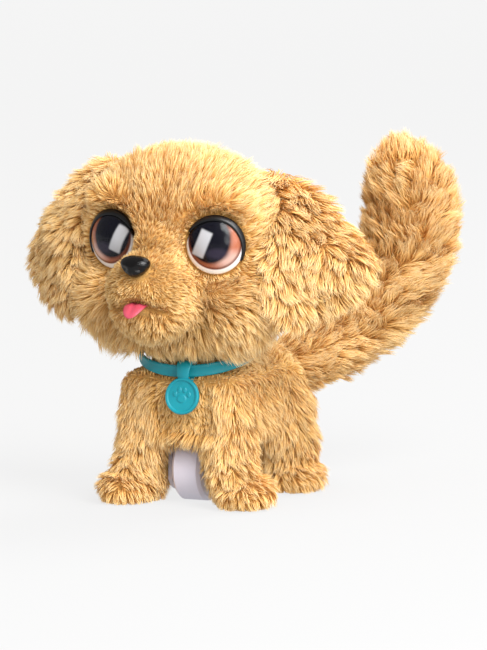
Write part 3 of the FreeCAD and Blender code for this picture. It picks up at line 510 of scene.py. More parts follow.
def eye_space(points):
    """Each point beside its nearer eye: its distance off the eye's axis, its height in
    front of the eye's rim, and the way straight out from the axis."""
    side = np.where(points[:, 0] < 0, -1.0, 1.0)[:, None]
    middle = EYE * np.concatenate([side, np.ones((len(points), 2))], 1)
    front = np.concatenate([side * math.sin(EYE_SPLAY),
                            np.tile([-math.cos(EYE_SPLAY), 0.0], (len(points), 1))], 1)
    offset = points - middle
    height = (offset * front).sum(1)
    out = offset - height[:, None] * front
    return np.linalg.norm(out, axis=1), height, unit(out), front


def muzzle_fold(points):
    """1 along the fold round the sides and the bottom of the muzzle, 0 away from it."""
    across = np.linalg.norm((points - MUZZLE)[:, [0, 2]], axis=1)
    band = np.exp(-((across - 30) / 4.5) ** 2)
    return band * ease(-points[:, 1], -CRANIUM[1] + 22, -CRANIUM[1] + 34) * (
        1 - ease(points[:, 2], MUZZLE[2] + 6, MUZZLE[2] + 20))


def mouth_line(across):
    """The height of the line between the lips, which arches over the tongue."""
    return MOUTH[2] - 1.0 + 5.0 * np.exp(-(across / 8.5) ** 2)


def head_skin():
    """The skull and muzzle, with a dish for each eye, a mouth line and the cheeks' fold."""
    blobs = [
        (CRANIUM + (0, 0, 3), (62, 45, 53)),
        (MUZZLE + (0, -2, 4), (25.5, 22, 22)),
        (MUZZLE + (0, 2, -7), (25, 21, 20)),
        (MUZZLE + (0, 14, 26), (15, 19, 17)),
        (CRANIUM + (0, -12, -35), (42, 31, 24)),
    ]
    for side in (-1, 1):
        blobs.append((CRANIUM + (33 * side, -6, -28), (33, 30, 28)))
        blobs.append((CRANIUM + (29 * side, -21, 26), (22, 16, 13)))
    points, faces = skin_mesh(blobs, 1.5, 10)
    # a dish round each eye, a little behind its rim
    off_axis, height, _, front = eye_space(points)
    near = (points[:, 1] < EYE[1] + 25)
    sunk = np.where(near, 1 - ease(off_axis, EYE_RADIUS + 2.5, EYE_RADIUS + 12), 0)
    drop = np.maximum(height + 2.5, 0) * sunk
    points -= front * drop[:, None]
    # the line of the mouth
    crease = np.exp(-((points[:, 2] - mouth_line(points[:, 0])) / 1.8) ** 2)
    crease *= (1 - ease(np.abs(points[:, 0]), 13, 19)) * (points[:, 1] < MUZZLE[1] - 5)
    points[:, 1] += 5.0 * crease
    # the fold where the muzzle meets the cheeks
    inward = unit(CRANIUM - points)
    points += inward * (3.5 * muzzle_fold(points))[:, None]
    return solid("head_skin", points, faces, GROUND, "head", "fur", "head_cover")


def head_coat(root, normal):
    """Combed away from the nose and off each eye; short on the muzzle, longer at the jaw,
    falling down the back, and bare round the eyes, nose and mouth."""
    x, y, z = root.T
    away = root - (NOSE + (0, 2, -4))
    far = np.linalg.norm(away, axis=1)
    off_axis, height, out, _ = eye_space(root)
    by_eye = y < EYE[1] + 25
    rim = np.where(by_eye, 1 - ease(off_axis, EYE_RADIUS + 1, EYE_RADIUS + 18), 0)
    low = ease(-z, -132, -108)
    comb = unit(away) + out * (1.6 * rim)[:, None] - UP * (0.6 * low)[:, None]
    length = np.interp(far, (8, 34, 50, 80), (3.5, 5, 9, 13))
    length *= 1 - 0.55 * rim
    jaw = (1 - ease(z, head_low[2] + 2, head_low[2] + 22)) * ease(far, 30, 45)
    length += (5.0 + 5.0 * ease(np.abs(x), 10, 28)) * jaw
    back = ease(y, -62, -28)[:, None]
    comb = unit(comb) * (1 - back) + np.array([0, 0.2, -1.0]) * back
    comb -= UP * 0.8 * jaw[:, None]
    bare_eye = by_eye & (off_axis < EYE_RADIUS + 1.2) & (height < 12)
    bare_nose = np.linalg.norm((root - NOSE) / (9.5, 9, 8), axis=1) < 1
    in_front = y < MUZZLE[1] - 5
    off_line = z - mouth_line(x)
    lips = in_front & (np.abs(x) < 17)
    bare_mouth = lips & (np.abs(off_line) < 1.5)
    comb = comb + UP * (1.5 * lips * np.sign(off_line) * (np.abs(off_line) < 6))[:, None]
    length = np.where(lips & (off_line > 0) & (off_line < 4), 3.0, length)
    bare_tongue = in_front & (np.abs(x) < 7.2) & (off_line < 1) & (off_line > -6)
    under = (z < head_low[2] + 8) & (np.hypot(x, y + 48) < 15)
    bare = bare_eye | bare_nose | bare_mouth | bare_tongue | under
    fold = muzzle_fold(root)
    length *= 1 - 0.35 * fold
    return {
        "cover": np.where(bare, 0.0, 1.0), "length": length, "comb": comb,
        "lift": np.interp(far, (10, 40, 90), (48, 42, 34)),
        "gather": np.interp(far, (10, 35, 90), (0.2, 0.42, 0.58)),
        # painted light and shade: the top of the head lighter, and painted shade low on the
        # head, along the muzzle's fold and over the muzzle round the nose
        "shade": 0.12 * ease(z, 150, 215) - 0.1 * low - 0.3 * fold
        - 0.5 * (1 - ease(far, 18, 42)),
    }


# ---- body ----

SKIN_OFF_CASE = 3.2
OPENING_FRONT, OPENING_BACK = -64, 21  # the opening under the belly, for the wheel
OPENING_TOP = case_high[2] - 8
LEG_X = 35.0  # the middles of the paws, which the fur fans out from
LEG_Y = (-65.0, 16.0)


def body_skin():
    """The torso, neck and legs as one skin, open under the belly up to the chassis."""
    blobs = [
        ((0, -46, 66), (35, 33, 23)), ((0, -18, 63), (38, 40, 25)),
        ((0, 8, 61), (43, 31, 26)), ((0, 29, 69), (17, 13, 15)),
        (COLLAR - 12 * COLLAR_AXIS, (31, 31, 22)),
        (COLLAR + 5 * COLLAR_AXIS + (0, 1, 1), (35, 34.5, 17)),
        (COLLAR + 8.5 * COLLAR_AXIS, (36.5, 36, 12)),
        (COLLAR + (0, 24, -7.5), (31, 22, 15)),
    ]
    # the left front paw stands a little further out and back than the right one
    for side, paw_x, paw_y in ((-1, 36, -67), (1, 40, -62)):
        blobs += [
            ((22 * side, -54, 54), (16, 20, 26)), ((28 * side, -60, 36), (13, 15, 26)),
            ((32 * side, -63, 20), (12.5, 15, 17)), ((21 * side, 14, 68), (22, 20, 20)),
            ((paw_x * side, paw_y, 9), (15, 19, 11)),
            ((31 * side, 10, 48), (16, 23, 27)), ((36 * side, 15, 26), (14, 15, 26)),
            ((40 * side, 14, 9), (15.5, 18, 11)), ((29 * side, -56, 20), (11, 11, 24)),
            ((30 * side, 11, 20), (11, 11, 24)),
        ]
    spread = np.array([SKIN_OFF_CASE, SKIN_OFF_CASE, 0])
    block = (case_low * (1, 1, 0) - spread + UP * (case_high[2] - 21),
             case_high * (1, 1, 0) + spread + UP * (upper_high[2] + SKIN_OFF_CASE), 6.0)
    points, faces = skin_mesh(blobs, 1.8, 12, block)
    # the opening narrows between the legs, so that their cores stay covered
    by_core = np.zeros(len(points))
    for core in ("front_leg_core_left", "rear_leg_core_left"):
        core_low, core_high = box(core)
        near = ease(points[:, 1], core_low[1] - 9, core_low[1] - 4)
        near *= 1 - ease(points[:, 1], core_high[1] + 4, core_high[1] + 9)
        by_core = np.maximum(by_core, near)
    half = case_high[0] - 4 - 13 * by_core
    open_x = 1 - ease(np.abs(points[:, 0]) - half, -3, 1)
    open_y = ease(points[:, 1] - OPENING_FRONT, -2, 2)
    open_y *= 1 - ease(points[:, 1] - OPENING_BACK, -2, 2)
    hole = open_x * open_y * (points[:, 2] < OPENING_TOP)
    points[:, 2] += np.maximum(OPENING_TOP - 6 - points[:, 2], 0) * hole
    points[:, 2] = np.maximum(points[:, 2], 0.5)
    legs = [f"{end}_leg_{side}" for end in ("front", "rear") for side in ("left", "right")]
    return solid("body_skin", points, faces, GROUND, "chassis", "fur", "body_cover", *legs)


def body_coat(root, normal):
    """Falls down the legs and lies back along the top; short by the collar and the tag,
    and bare on the soles and inside the opening."""
    x, y, z = root.T
    top = ease(normal[:, 2], 0.35, 0.8) * (z > 60)
    legs = 1 - ease(z, 22, 44)
    leg_x = np.where(x < 0, -LEG_X, LEG_X)
    leg_y = np.where(y < -22, *LEG_Y)
    outward = unit(np.stack([x - leg_x, y - leg_y, np.zeros(len(root))], 1))
    comb = np.array([0.0, 0.18, -1.0]) + top[:, None] * np.array([0.0, 1.4, 0.8])
    comb = comb + outward * (0.2 * legs)[:, None]
    rise = (root - COLLAR) @ COLLAR_AXIS
    by_collar = 1 - ease(np.abs(rise), 4.5, 9)
    length = 11.5 - 3 * top - 3 * legs
    length = np.where(rise > -20, length * (1 - 0.75 * by_collar), length)
    length = np.where(rise > 4, np.minimum(length, 8), length)
    shoulder = ease(z, 62, 74) * ease(np.abs(x), 24, 34)
    length = length * (1 - 0.4 * shoulder)
    beside_tag = np.abs(x - TAG_ASIDE) < tag_high[0] + 4.5
    by_tag = beside_tag & (y < tag_high[1] + 16) & (z > tag_low[2] - 4)
    length = np.where(by_tag, 4.5, length)
    inside = (np.abs(x) < case_high[0] - 2) & (y > OPENING_FRONT) & (y < OPENING_BACK)
    inside &= (z > case_low[2] + 36) & (z < OPENING_TOP)
    sole = (z < 1.5) & (normal[:, 2] < -0.5)
    off_neck = np.linalg.norm(root - COLLAR - rise[:, None] * COLLAR_AXIS, axis=1)
    neck_top = (rise > 12) & (off_neck < 24)
    bare = inside | sole | neck_top | (normal[:, 2] < -0.9)
    return {
        "cover": np.where(bare, 0.0, 1.0), "length": length, "comb": comb,
        "lift": np.where(by_tag, 12, 30 + 5 * legs - 6 * top - 12 * shoulder),
        "gather": 0.42 + 0.16 * legs,
        # painted light on the top of the body, and painted shade low between the legs
        "shade": 0.1 * top - 0.1 * (1 - ease(z, 20, 60)) * (np.abs(x) < 22),
    }


# ---- tail ----

# along the tail: distance out from its pin, height, and the skin's radius
TAIL_LINE = np.array([
    (9, 71.5, 5), (20, 72, 10), (36, 75, 13.5), (60, 85, 16), (86, 106, 20),
    (105, 134, 22.5), (111, 160, 23), (109, 181, 20), (105, 196, 13), (103, 204, 3)])


def smooth_line(rows, count):
    """Rows of numbers turned into more rows along a smooth curve through them."""
    out = []
    last = len(rows) - 1
    for step in np.linspace(0, last, count):
        k = min(int(step), last - 1)
        t = step - k
        out.append(between(*(rows[np.clip(k + j, 0, last)] for j in (-1, 0, 1, 2)), t))
    return np.array(out)


def tail_middle():
    """(points, tangents, radii) along the tail's centre line."""
    rows = smooth_line(TAIL_LINE, 60)
    out = np.array([math.sin(TAIL_SWING), math.cos(TAIL_SWING), 0.0])
    middle = np.array([TAIL_PIN[0], TAIL_PIN[1], 0]) + rows[:, :1] * out + rows[:, 1:2] * UP
    return middle, unit(np.gradient(middle, axis=0)), np.maximum(rows[:, 2], 1.0)


def tail_form(around, spared, lump):
    """(points, faces) round the tail's centre line, leaving out so many rings at each end.
    lump gives the share of the skin's radius at a ring and an angle."""
    middle, along, radius = tail_middle()
    flat = np.array([math.cos(TAIL_SWING), -math.sin(TAIL_SWING), 0.0])
    points = []
    for ring in range(spared, len(middle) - spared):
        upright = np.cross(flat, along[ring])
        for angle in angles(around):
            points.append(middle[ring] + radius[ring] * lump(ring, angle) * (
                flat * math.cos(angle) + upright * math.sin(angle)))
    return points, tube_faces(len(middle) - 2 * spared, around)


def tail_skin():
    """The tail's sewn sleeve."""
    points, faces = tail_form(40, 0, lambda ring, angle: 1.0)
    return shaped("tail_skin", points, faces, GROUND, "tail", "fur", "tail_cover")


def tail_wadding():
    """The filling inside the tail's skin, lumpy as stuffing is."""
    points, faces = tail_form(
        32, 3, lambda ring, angle: 0.86 + 0.05 * math.sin(3 * angle + 0.7 * ring))
    shaped("tail_wadding", points, faces, FINISHES["filling"], "tail", "filling",
           "tail_filling")


def tail_coat(root, normal):
    """Combed toward the tip, and longer along the way."""
    middle, along, _ = tail_middle()
    nearest = np.argmin(((root[:, None] - middle[None]) ** 2).sum(2), axis=1)
    share = nearest / (len(middle) - 1)
    return {
        "cover": even(root, 1), "length": np.interp(share, (0, 0.2, 0.5, 1), (8, 12, 14, 14)),
        "comb": along[nearest] + 0.15 * UP, "lift": np.interp(share, (0, 0.3, 1), (28, 42, 46)),
        # the shade here is painted shade on the tail's underside
        "gather": even(root, 0.6), "shade": 0.05 - 0.12 * (normal[:, 2] < -0.2),
    }


# ---- ears ----

# the left ear's outline, from the front of its seam down, round and back up
EAR_OUTLINE = np.array([
    (50, -49, 207), (60, -68, 188), (62, -80, 162), (63, -88, 136), (72, -80, 118),
    (93, -58, 123), (109, -44, 137), (111, -31, 155), (97, -31, 171), (72, -35, 196)],
    dtype=float)
# the right ear's upper back edge stands this much higher than the left one's
RIGHT_EAR_RISE = np.array([0, 0, 0, 0, 0, 0, 0, 1, 8, 7])
EAR_HALF_THICK = 5.0


def closed_line(corners, count):
    """Points along a smooth closed curve through the corners."""
    total = len(corners)
    out = []
    for step in np.linspace(0, total, count, endpoint=False):
        k = int(step)
        t = step - k
        out.append(between(*(corners[(k + j) % total] for j in (-1, 0, 1, 2)), t))
    return np.array(out)


def ear_frame(side):
    """(outline, middle, outward normal) of one ear."""
    flip = np.array([side, 1, 1])
    corners = EAR_OUTLINE + (side < 0) * RIGHT_EAR_RISE[:, None] * UP
    outline = closed_line(corners, 72) * flip
    middle = outline.mean(0)
    facing = np.cross(outline[18] - middle, outline[36] - middle)
    facing = unit(facing) * np.sign(facing[0]) * side
    return outline, middle + 5 * facing, facing


def ear_skin(name, side, body, node):
    outline, middle, facing = ear_frame(side)
    rings = 14
    around = len(outline)
    points, faces = [], []
    for face in (1, -1):
        for ring in range(rings):
            share = (ring + 1) / rings
            swell = face * EAR_HALF_THICK * math.sqrt(max(0.0, 1 - share ** 2.6))
            dome = 3.0 * (1 - share ** 2)
            points += list(middle + share * (outline - middle) + facing * (swell + dome - 3))
    top, bottom = len(points), len(points) + 1
    points += [middle + facing * EAR_HALF_THICK, middle - facing * EAR_HALF_THICK]
    for face, centre in ((0, top), (1, bottom)):
        base = face * rings * around
        for k in range(around):
            following = (k + 1) % around
            fan = (centre, base + k, base + following)
            faces.append(fan if face == 0 else fan[::-1])
            for ring in range(rings - 1):
                low, high = base + ring * around, base + (ring + 1) * around
                quad = (low + k, high + k, high + following, low + following)
                faces.append(quad if face == 0 else quad[::-1])
    return shaped(name, points, faces, GROUND, body, "fur", node, gap=0.05)


def ear_coat(side):
    """Falls away from above the ear's seam, longer outside than in."""
    outline, middle, facing = ear_frame(side)
    above_seam = (outline[0] + outline[-6]) / 2 + (-8 * side, 0, 18)

    def coat(root, normal):
        outer = ease(normal @ facing, -0.3, 0.4)
        away = unit(root - above_seam)
        edge = np.linalg.norm(root - middle, axis=1)
        comb = away + 0.5 * unit(root - middle) * ease(edge, 20, 45)[:, None] - 0.35 * UP
        return {
            "cover": even(root, 1), "length": 7 + 5 * outer + ease(edge, 25, 50),
            "comb": comb, "lift": 22 + 14 * outer, "gather": even(root, 0.58),
            # painted shade on the ear's inner side, toward the head
            "shade": -0.15 * (1 - outer),
        }

    return coat


# ---- face ----

def eye_print_material(name, side):
    """A printed eye with a painted reflection, painted sheen and painted light laid over the
    print, drawn in the eye's own space: across is away from the nose and up is up, both in eye
    radii."""
    tree = Tree(name)
    here = tree.add("ShaderNodeTexCoord").outputs["Object"]
    middle = EYE * (side, 1, 1) * MM
    local = tree.add("ShaderNodeMapping", {
        "Vector": here, "Location": tuple(middle), "Rotation": (0, 0, side * EYE_SPLAY),
        "Scale": (side * EYE_RADIUS * MM, EYE_RADIUS * MM, EYE_RADIUS * MM)},
        vector_type="TEXTURE").outputs[0]
    spot = tree.add("ShaderNodeSeparateXYZ", {0: local})
    across, up = spot.outputs["X"], spot.outputs["Z"]

    def disc(centre, radii, edge=0.03):
        """1 inside an ellipse and 0 outside."""
        x = tree.math("DIVIDE", tree.math("SUBTRACT", across, centre[0]), radii[0])
        y = tree.math("DIVIDE", tree.math("SUBTRACT", up, centre[1]), radii[1])
        away = tree.math("SQRT", tree.math("ADD", tree.math("MULTIPLY", x, x),
                                           tree.math("MULTIPLY", y, y)))
        return tree.span(away, 1 - edge, 1 + edge, 1, 0)

    def bar(centre, half, tilt, edge=0.05):
        """1 inside a leaning rectangle and 0 outside."""
        x = tree.math("SUBTRACT", across, centre[0])
        y = tree.math("SUBTRACT", up, centre[1])
        width = tree.math("SUBTRACT", tree.math("MULTIPLY", x, math.cos(tilt)),
                          tree.math("MULTIPLY", y, math.sin(tilt)))
        height = tree.math("ADD", tree.math("MULTIPLY", x, math.sin(tilt)),
                           tree.math("MULTIPLY", y, math.cos(tilt)))
        inside = [tree.span(tree.math("ABSOLUTE", size), limit - edge, limit + edge, 1, 0)
                  for size, limit in zip((width, height), half)]
        return tree.math("MULTIPLY", *inside)

    def over(below, mask, colour, share=1.0):
        """A colour laid over what is below, as strongly as a mask and a share."""
        return tree.mix(tree.math("MULTIPLY", mask, share), below, colour)

    rays = tree.noise(tree.place((1, 1, 0.35)), 1500.0, 2.0)
    iris = tree.mix(rays, tint("9A5138"), tint("BE7554"))
    iris_edge = disc((0, 0.12), (0.99, 1.0))
    rim = tree.math("SUBTRACT", iris_edge, disc((0, 0.12), (0.91, 0.92), 0.06))
    # painted sheen: a pale patch low and outward on the iris
    iris = over(iris, disc((0.55, -0.52), (0.48, 0.34), 0.7), tint("E3BFB2"), 0.8)
    iris = over(iris, rim, tint("5A2A1E"), 0.8)
    colour = over(tint("F3F2F1"), iris_edge, iris)
    colour = over(colour, disc((-0.19, 0.26), (0.82, 0.93), 0.10), tint("3A1A16"), 0.75)
    colour = over(colour, disc((-0.19, 0.26), (0.75, 0.87), 0.05), tint("0C0C16"))
    # painted light: a lighter patch low in the pupil
    colour = over(colour, disc((0.12, -0.28), (0.40, 0.2), 0.5), tint("3B3346"), 0.55)
    # a painted reflection: a pale leaning bar for a strip light's reflection, on the nose side
    # of each eye
    shine = bar((-0.50 + 0.04 * side, 0.09), (0.22, 0.50), side * math.radians(22))
    colour = over(colour, shine, tint("B4B4B7"))
    # the upper lid line: everything above a slanted arc is black
    colour = over(tint("08080A"), disc((0.05, -0.42), (1.22, 1.30)), colour)
    return tree.principled(Base_Color=colour, Roughness=0.22, Specular_IOR_Level=0.15)


def lens_material():
    """Clear, with only its shine showing."""
    tree = Tree("clear_lens")
    smear = tree.noise(tree.place(), 300.0, 2.0)
    shine = tree.add("ShaderNodeBsdfGlossy", {
        "Roughness": tree.span(smear, 0.3, 0.7, 0.02, 0.06)}).outputs[0]
    clear = tree.add("ShaderNodeBsdfTransparent").outputs[0]
    share = tree.add("ShaderNodeFresnel", {"IOR": 1.25}).outputs[0]
    inner_face = tree.add("ShaderNodeNewGeometry").outputs["Backfacing"]
    share = tree.math("MULTIPLY", share, tree.math("SUBTRACT", 1.0, inner_face))
    both = tree.add("ShaderNodeMixShader", {0: share, 1: clear, 2: shine})
    return tree.finish(both.outputs[0])


EYE_DOME = (17.6, 6.2)  # radius and height of the printed dome
LENS_DOME = (17.9, 7.0)
LID_RADIUS = 18.5


def dome_level(away, dome):
    """How far a dome stands in front of its rim, at a distance from its axis."""
    radius, height = dome
    ball = (radius ** 2 + height ** 2) / (2 * height)
    return math.sqrt(ball ** 2 - away ** 2) - (ball - height)


def eye_point(side, across, up, front):
    """A place in the frame from one in an eye's own space, in millimetres."""
    outward = np.array([side * math.cos(EYE_SPLAY), math.sin(EYE_SPLAY), 0.0])
    forward = np.array([side * math.sin(EYE_SPLAY), -math.cos(EYE_SPLAY), 0.0])
    return EYE * (side, 1, 1) + outward * across + UP * up + forward * front


def turned_piece(name, side, profile, material, slot, node):
    """A piece turned round an eye's axis from (distance off the axis, place along it)."""
    turn = angles(96)
    points = [eye_point(side, away * math.cos(angle), away * math.sin(angle), front)
              for away, front in profile for angle in turn]
    faces = tube_faces(len(profile), len(turn), False)
    shaped(name, points, faces, material, "head", slot, node)


def eye_pieces(side, word):
    """A printed dome, the clear lens over it and the black lid over their upper edge."""
    rings = np.linspace(0, 1, 20)
    profile = [(EYE_DOME[0] * r, dome_level(EYE_DOME[0] * r, EYE_DOME)) for r in rings]
    profile += [(EYE_DOME[0], -2.0), (0.0, -2.0)]
    turned_piece(f"eye_dome_{word}", side, profile,
                 eye_print_material(f"eye_print_{word}", side), "eye_print", f"eye_{word}")
    outer = [(LENS_DOME[0] * r, dome_level(LENS_DOME[0] * r, LENS_DOME)) for r in rings]
    inner = [(away * 0.985, front - 0.4) for away, front in reversed(outer)]
    turned_piece(f"lens_{word}", side, outer + inner, FINISHES["eye_lens"], "eye_lens",
                 f"eye_lens_{word}")

    steps = 90
    points = []
    for share in np.linspace(0, 1, steps):
        angle = math.radians(-31 + 184 * share)
        wide = 0.9 + 2.5 * math.sin(math.pi * share) ** 0.8
        edge = LID_RADIUS - wide
        section = [(LID_RADIUS, -1.6), (LID_RADIUS + 0.25, 0.1), (LID_RADIUS - 0.3, 0.75),
                   (LID_RADIUS - wide / 2, 1.05), (edge + 0.3, 0.75), (edge, 0.2),
                   (edge + 0.2, -0.3)]
        for away, rise in section:
            front = dome_level(min(away, LENS_DOME[0]), LENS_DOME) + rise
            points.append(eye_point(side, away * math.cos(angle), away * math.sin(angle),
                                    front))
    shaped(f"lid_{word}", points, tube_faces(steps, len(section)), FINISHES["eyelid"],
           "head", "eyelid", f"eyelid_{word}")


def nose_piece():
    """A glossy rounded triangle with two nostrils."""
    around, rings = 72, 37
    points = []
    for polar in np.linspace(0, math.pi, rings):
        for angle in angles(around):
            x = math.sin(polar) * math.cos(angle)
            z = math.sin(polar) * math.sin(angle)
            y = -math.cos(polar)
            width = 10.4 * (0.82 + 0.25 * z - 0.05 * z * z)
            height = 7.4 if z < 0 else 6.2
            depth = 7.5 * (1 - 0.12 * z)
            spot = np.array([x * width * 1.08, y * depth, z * height])
            for side in (-1, 1):
                hole = np.array([4.6 * side, -5.8, -1.6])
                away = (spot - hole) / (2.3, 2.4, 1.5)
                spot[1] += 1.7 * math.exp(-float(away @ away))
            groove = math.exp(-(spot[0] / 0.8) ** 2) * (1 if z < 0 and y < 0 else 0)
            spot[1] += 0.6 * groove * -z
            points.append(NOSE + spot)
    tree = Tree("gloss_nose")
    grain = tree.add("ShaderNodeTexVoronoi", {"Vector": tree.place(), "Scale": 1600.0})
    gloss = tree.noise(tree.place(), 500.0)
    material = tree.principled(
        Base_Color=tree.mix(gloss, tint("060505"), tint("0F0D0D")),
        Roughness=tree.span(gloss, 0.3, 0.7, 0.12, 0.24), Specular_IOR_Level=0.35,
        Normal=tree.bump(grain.outputs["Distance"], 0.1))
    shaped("nose_moulding", points, tube_faces(rings, around, False), material, "head",
           "nose", "nose")


def tongue_piece():
    """A small drooping tongue with a groove down its middle."""
    rings, around = 26, 28
    points = []
    for share in np.linspace(0, 1, rings):
        out = MOUTH[1] + 11 - 15.0 * share
        droop = 3.2 - 6.6 * share ** 2.4
        half_width = 6.7 * math.sqrt(max(0.002, 1 - max(0.0, share - 0.35) ** 2 / 0.4225))
        half_thick = 1.7 * math.sqrt(max(0.004, 1 - share ** 5))
        for angle in angles(around):
            x = half_width * math.cos(angle)
            groove = 0.9 * math.exp(-(x / 1.1) ** 2) * max(0.0, math.sin(angle))
            lift = half_thick * math.sin(angle) - groove * min(1.0, 4 * (1 - share))
            points.append(np.array([x, out, MOUTH[2] + droop + lift]))
    material = vinyl("soft_tongue", "B5384B", "CC5468", (140.0, 3.0), 2600.0, (0.38, 0.52),
                     0.15, 2.0, 0.08)
    shaped("tongue_moulding", points, tube_faces(rings, around), material, "head",
           "tongue", "tongue")


# ---- collar ----

COLLAR_HALF = 4.0  # half its height
BEAD = 1.15  # the radius of the bead along each edge


def collar_piece():
    """A turned band with a raised bead along both edges."""
    outer = -collar_low[0]
    profile = []
    for edge in (1, -1):
        for turn in np.radians(np.linspace(0, 180, 10) + (0 if edge == 1 else 180)):
            profile.append((outer - 0.9 + BEAD * math.cos(turn),
                            edge * (COLLAR_HALF - BEAD) + BEAD * math.sin(turn)))
    profile += [(outer - 0.4, 2.2 - COLLAR_HALF), (outer - 0.25, 0.0),
                (outer - 0.4, COLLAR_HALF - 2.2)]
    across = np.array([1.0, 0, 0])
    forward = np.cross(COLLAR_AXIS, across)
    turns = angles(180)
    points = []
    for angle in turns:
        way = across * math.cos(angle) + forward * math.sin(angle)
        points += [COLLAR + way * out + COLLAR_AXIS * up for out, up in profile]
    shaped("collar_band", points, loop_faces(len(turns), len(profile)), TEAL, "chassis",
           "collar", "collar")


# the pad and the four toes of the raised paw, as centres and half sizes
PAW = [((0, -1.6), (3.3, 2.7)), ((-4.6, 1.2), (1.25, 1.7)), ((-1.7, 3.8), (1.25, 1.7)),
       ((1.7, 3.8), (1.25, 1.7)), ((4.6, 1.2), (1.25, 1.7))]
TAG_ASIDE = 6.5  # how far the tag has slid along the collar, toward the puppy's left
TAG_HALF = (11.2, 11.4)
TAG_DROP = 15.2  # from the pivot down to the middle of the oval
TAG_LEAN = math.radians(10)
TAG_FACE, TAG_BACK = 4.6, 2.4  # how far the oval's two faces stand in front of the pivot
STRAP_HALF = (5.3, 6.2)  # the loop round the collar: half its depth and half its height
# the strap's section: places across, in half widths, and through its thickness
STRAP_SECTION = ((-1, -0.35), (-0.9, -0.75), (0.9, -0.75), (1, -0.35), (1, 0.35),
                 (0.9, 0.75), (-0.9, 0.75), (-1, 0.35))


def tag_point(across, down, out):
    """A place in the frame from one in the tag's own space, which hangs from its pivot."""
    pivot = COLLAR - COLLAR_AXIS * 0.3 + np.cross(COLLAR_AXIS, (1, 0, 0)) * -36.7
    hang = np.array([0, -math.sin(TAG_LEAN), -math.cos(TAG_LEAN)])
    facing = np.array([0, -math.cos(TAG_LEAN), math.sin(TAG_LEAN)])
    return pivot + np.array([across + TAG_ASIDE, 0, 0]) + hang * down + facing * out


def tag_relief(across, up, share):
    """How far the oval's face stands up: its border, and a paw raised in the middle."""
    border = float(ease(share, 0.80, 0.86)) * 0.75
    paw = 0.0
    for (x, y), (half_x, half_y) in PAW:
        away = math.hypot((across - x) / half_x, (up - y) / half_y)
        paw = max(paw, 1 - float(ease(away, 0.75, 1.05)))
    return border + 0.5 * paw - 1.1 * float(ease(share, 0.95, 1.0))


def tag_piece():
    """A strap round the collar and an oval with a raised border and paw."""
    rings, around = 56, 144
    points = []
    face = [(share, True) for share in np.linspace(0, 1, rings)]
    for share, in_front in (*face, (0.98, False), (0.0, False)):
        for angle in angles(around):
            x = TAG_HALF[0] * share * math.cos(angle)
            y = TAG_HALF[1] * share * math.sin(angle)
            out = TAG_FACE + tag_relief(x, y, share) if in_front else TAG_BACK
            points.append(tag_point(x, TAG_DROP - y, out))
    faces = tube_faces(rings + 2, around, False)

    turns = angles(64)
    faces += loop_faces(len(turns), len(STRAP_SECTION), len(points))
    for angle in turns:
        toward, below = math.cos(angle), math.sin(angle)
        out = STRAP_HALF[0] * np.sign(toward) * abs(toward) ** 0.9
        down = STRAP_HALF[1] * np.sign(below) * abs(below) ** 0.9
        half = 5.0 - 0.14 * (down + 6)
        points += [tag_point(half * x, down + thick * below, out + thick * toward)
                   for x, thick in STRAP_SECTION]
    shaped("tag_moulding", points, faces, TEAL, "tag", "collar", "pet_tag")


# ---- CAD nodes ----

def board_material():
    tree = Tree("solder_mask")
    place = tree.place()
    fine = tree.noise(place, 1200.0)
    tracks = tree.add("ShaderNodeTexBrick", {
        "Vector": place, "Scale": 220.0, "Mortar Size": 0.03,
        "Color1": tint("0B4A24"), "Color2": tint("0E5A2C"), "Mortar": tint("2C7D49")})
    return tree.principled(Base_Color=tracks.outputs["Color"],
                           Roughness=tree.span(fine, 0.3, 0.7, 0.25, 0.4),
                           Normal=tree.bump(tracks.outputs["Fac"], 0.03))


def cell_material():
    """A wrapped cell: a dark sleeve with a copper-coloured end."""
    tree = Tree("cell_wrap")
    place = tree.place()
    spot = tree.add("ShaderNodeSeparateXYZ", {0: place})
    cells_low, _ = box("battery_cells")
    end = cells_low[0] * 0.45
    line = tree.span(spot.outputs["X"], end * MM, (end + 0.4) * MM)
    fine = tree.noise(place, 900.0)
    shade = tree.mix(fine, tint("1C2129"), tint("2A313C"))
    return tree.principled(Base_Color=tree.mix(line, tint("B0703A"), shade), Metallic=0.35,
                           Roughness=tree.span(fine, 0.3, 0.7, 0.25, 0.38),
                           Normal=tree.bump(fine, 0.02))


def wadding_material():
    tree = Tree("wadding")
    place = tree.place()
    strands = tree.noise(place, 260.0, 6.0)
    clumps = tree.noise(place, 50.0, 2.0)
    return tree.principled(Base_Color=tree.mix(clumps, tint("E2DFD8"), tint("F6F4F0")),
                           Roughness=0.95, Sheen_Weight=0.5, Normal=tree.bump(strands, 1.6))


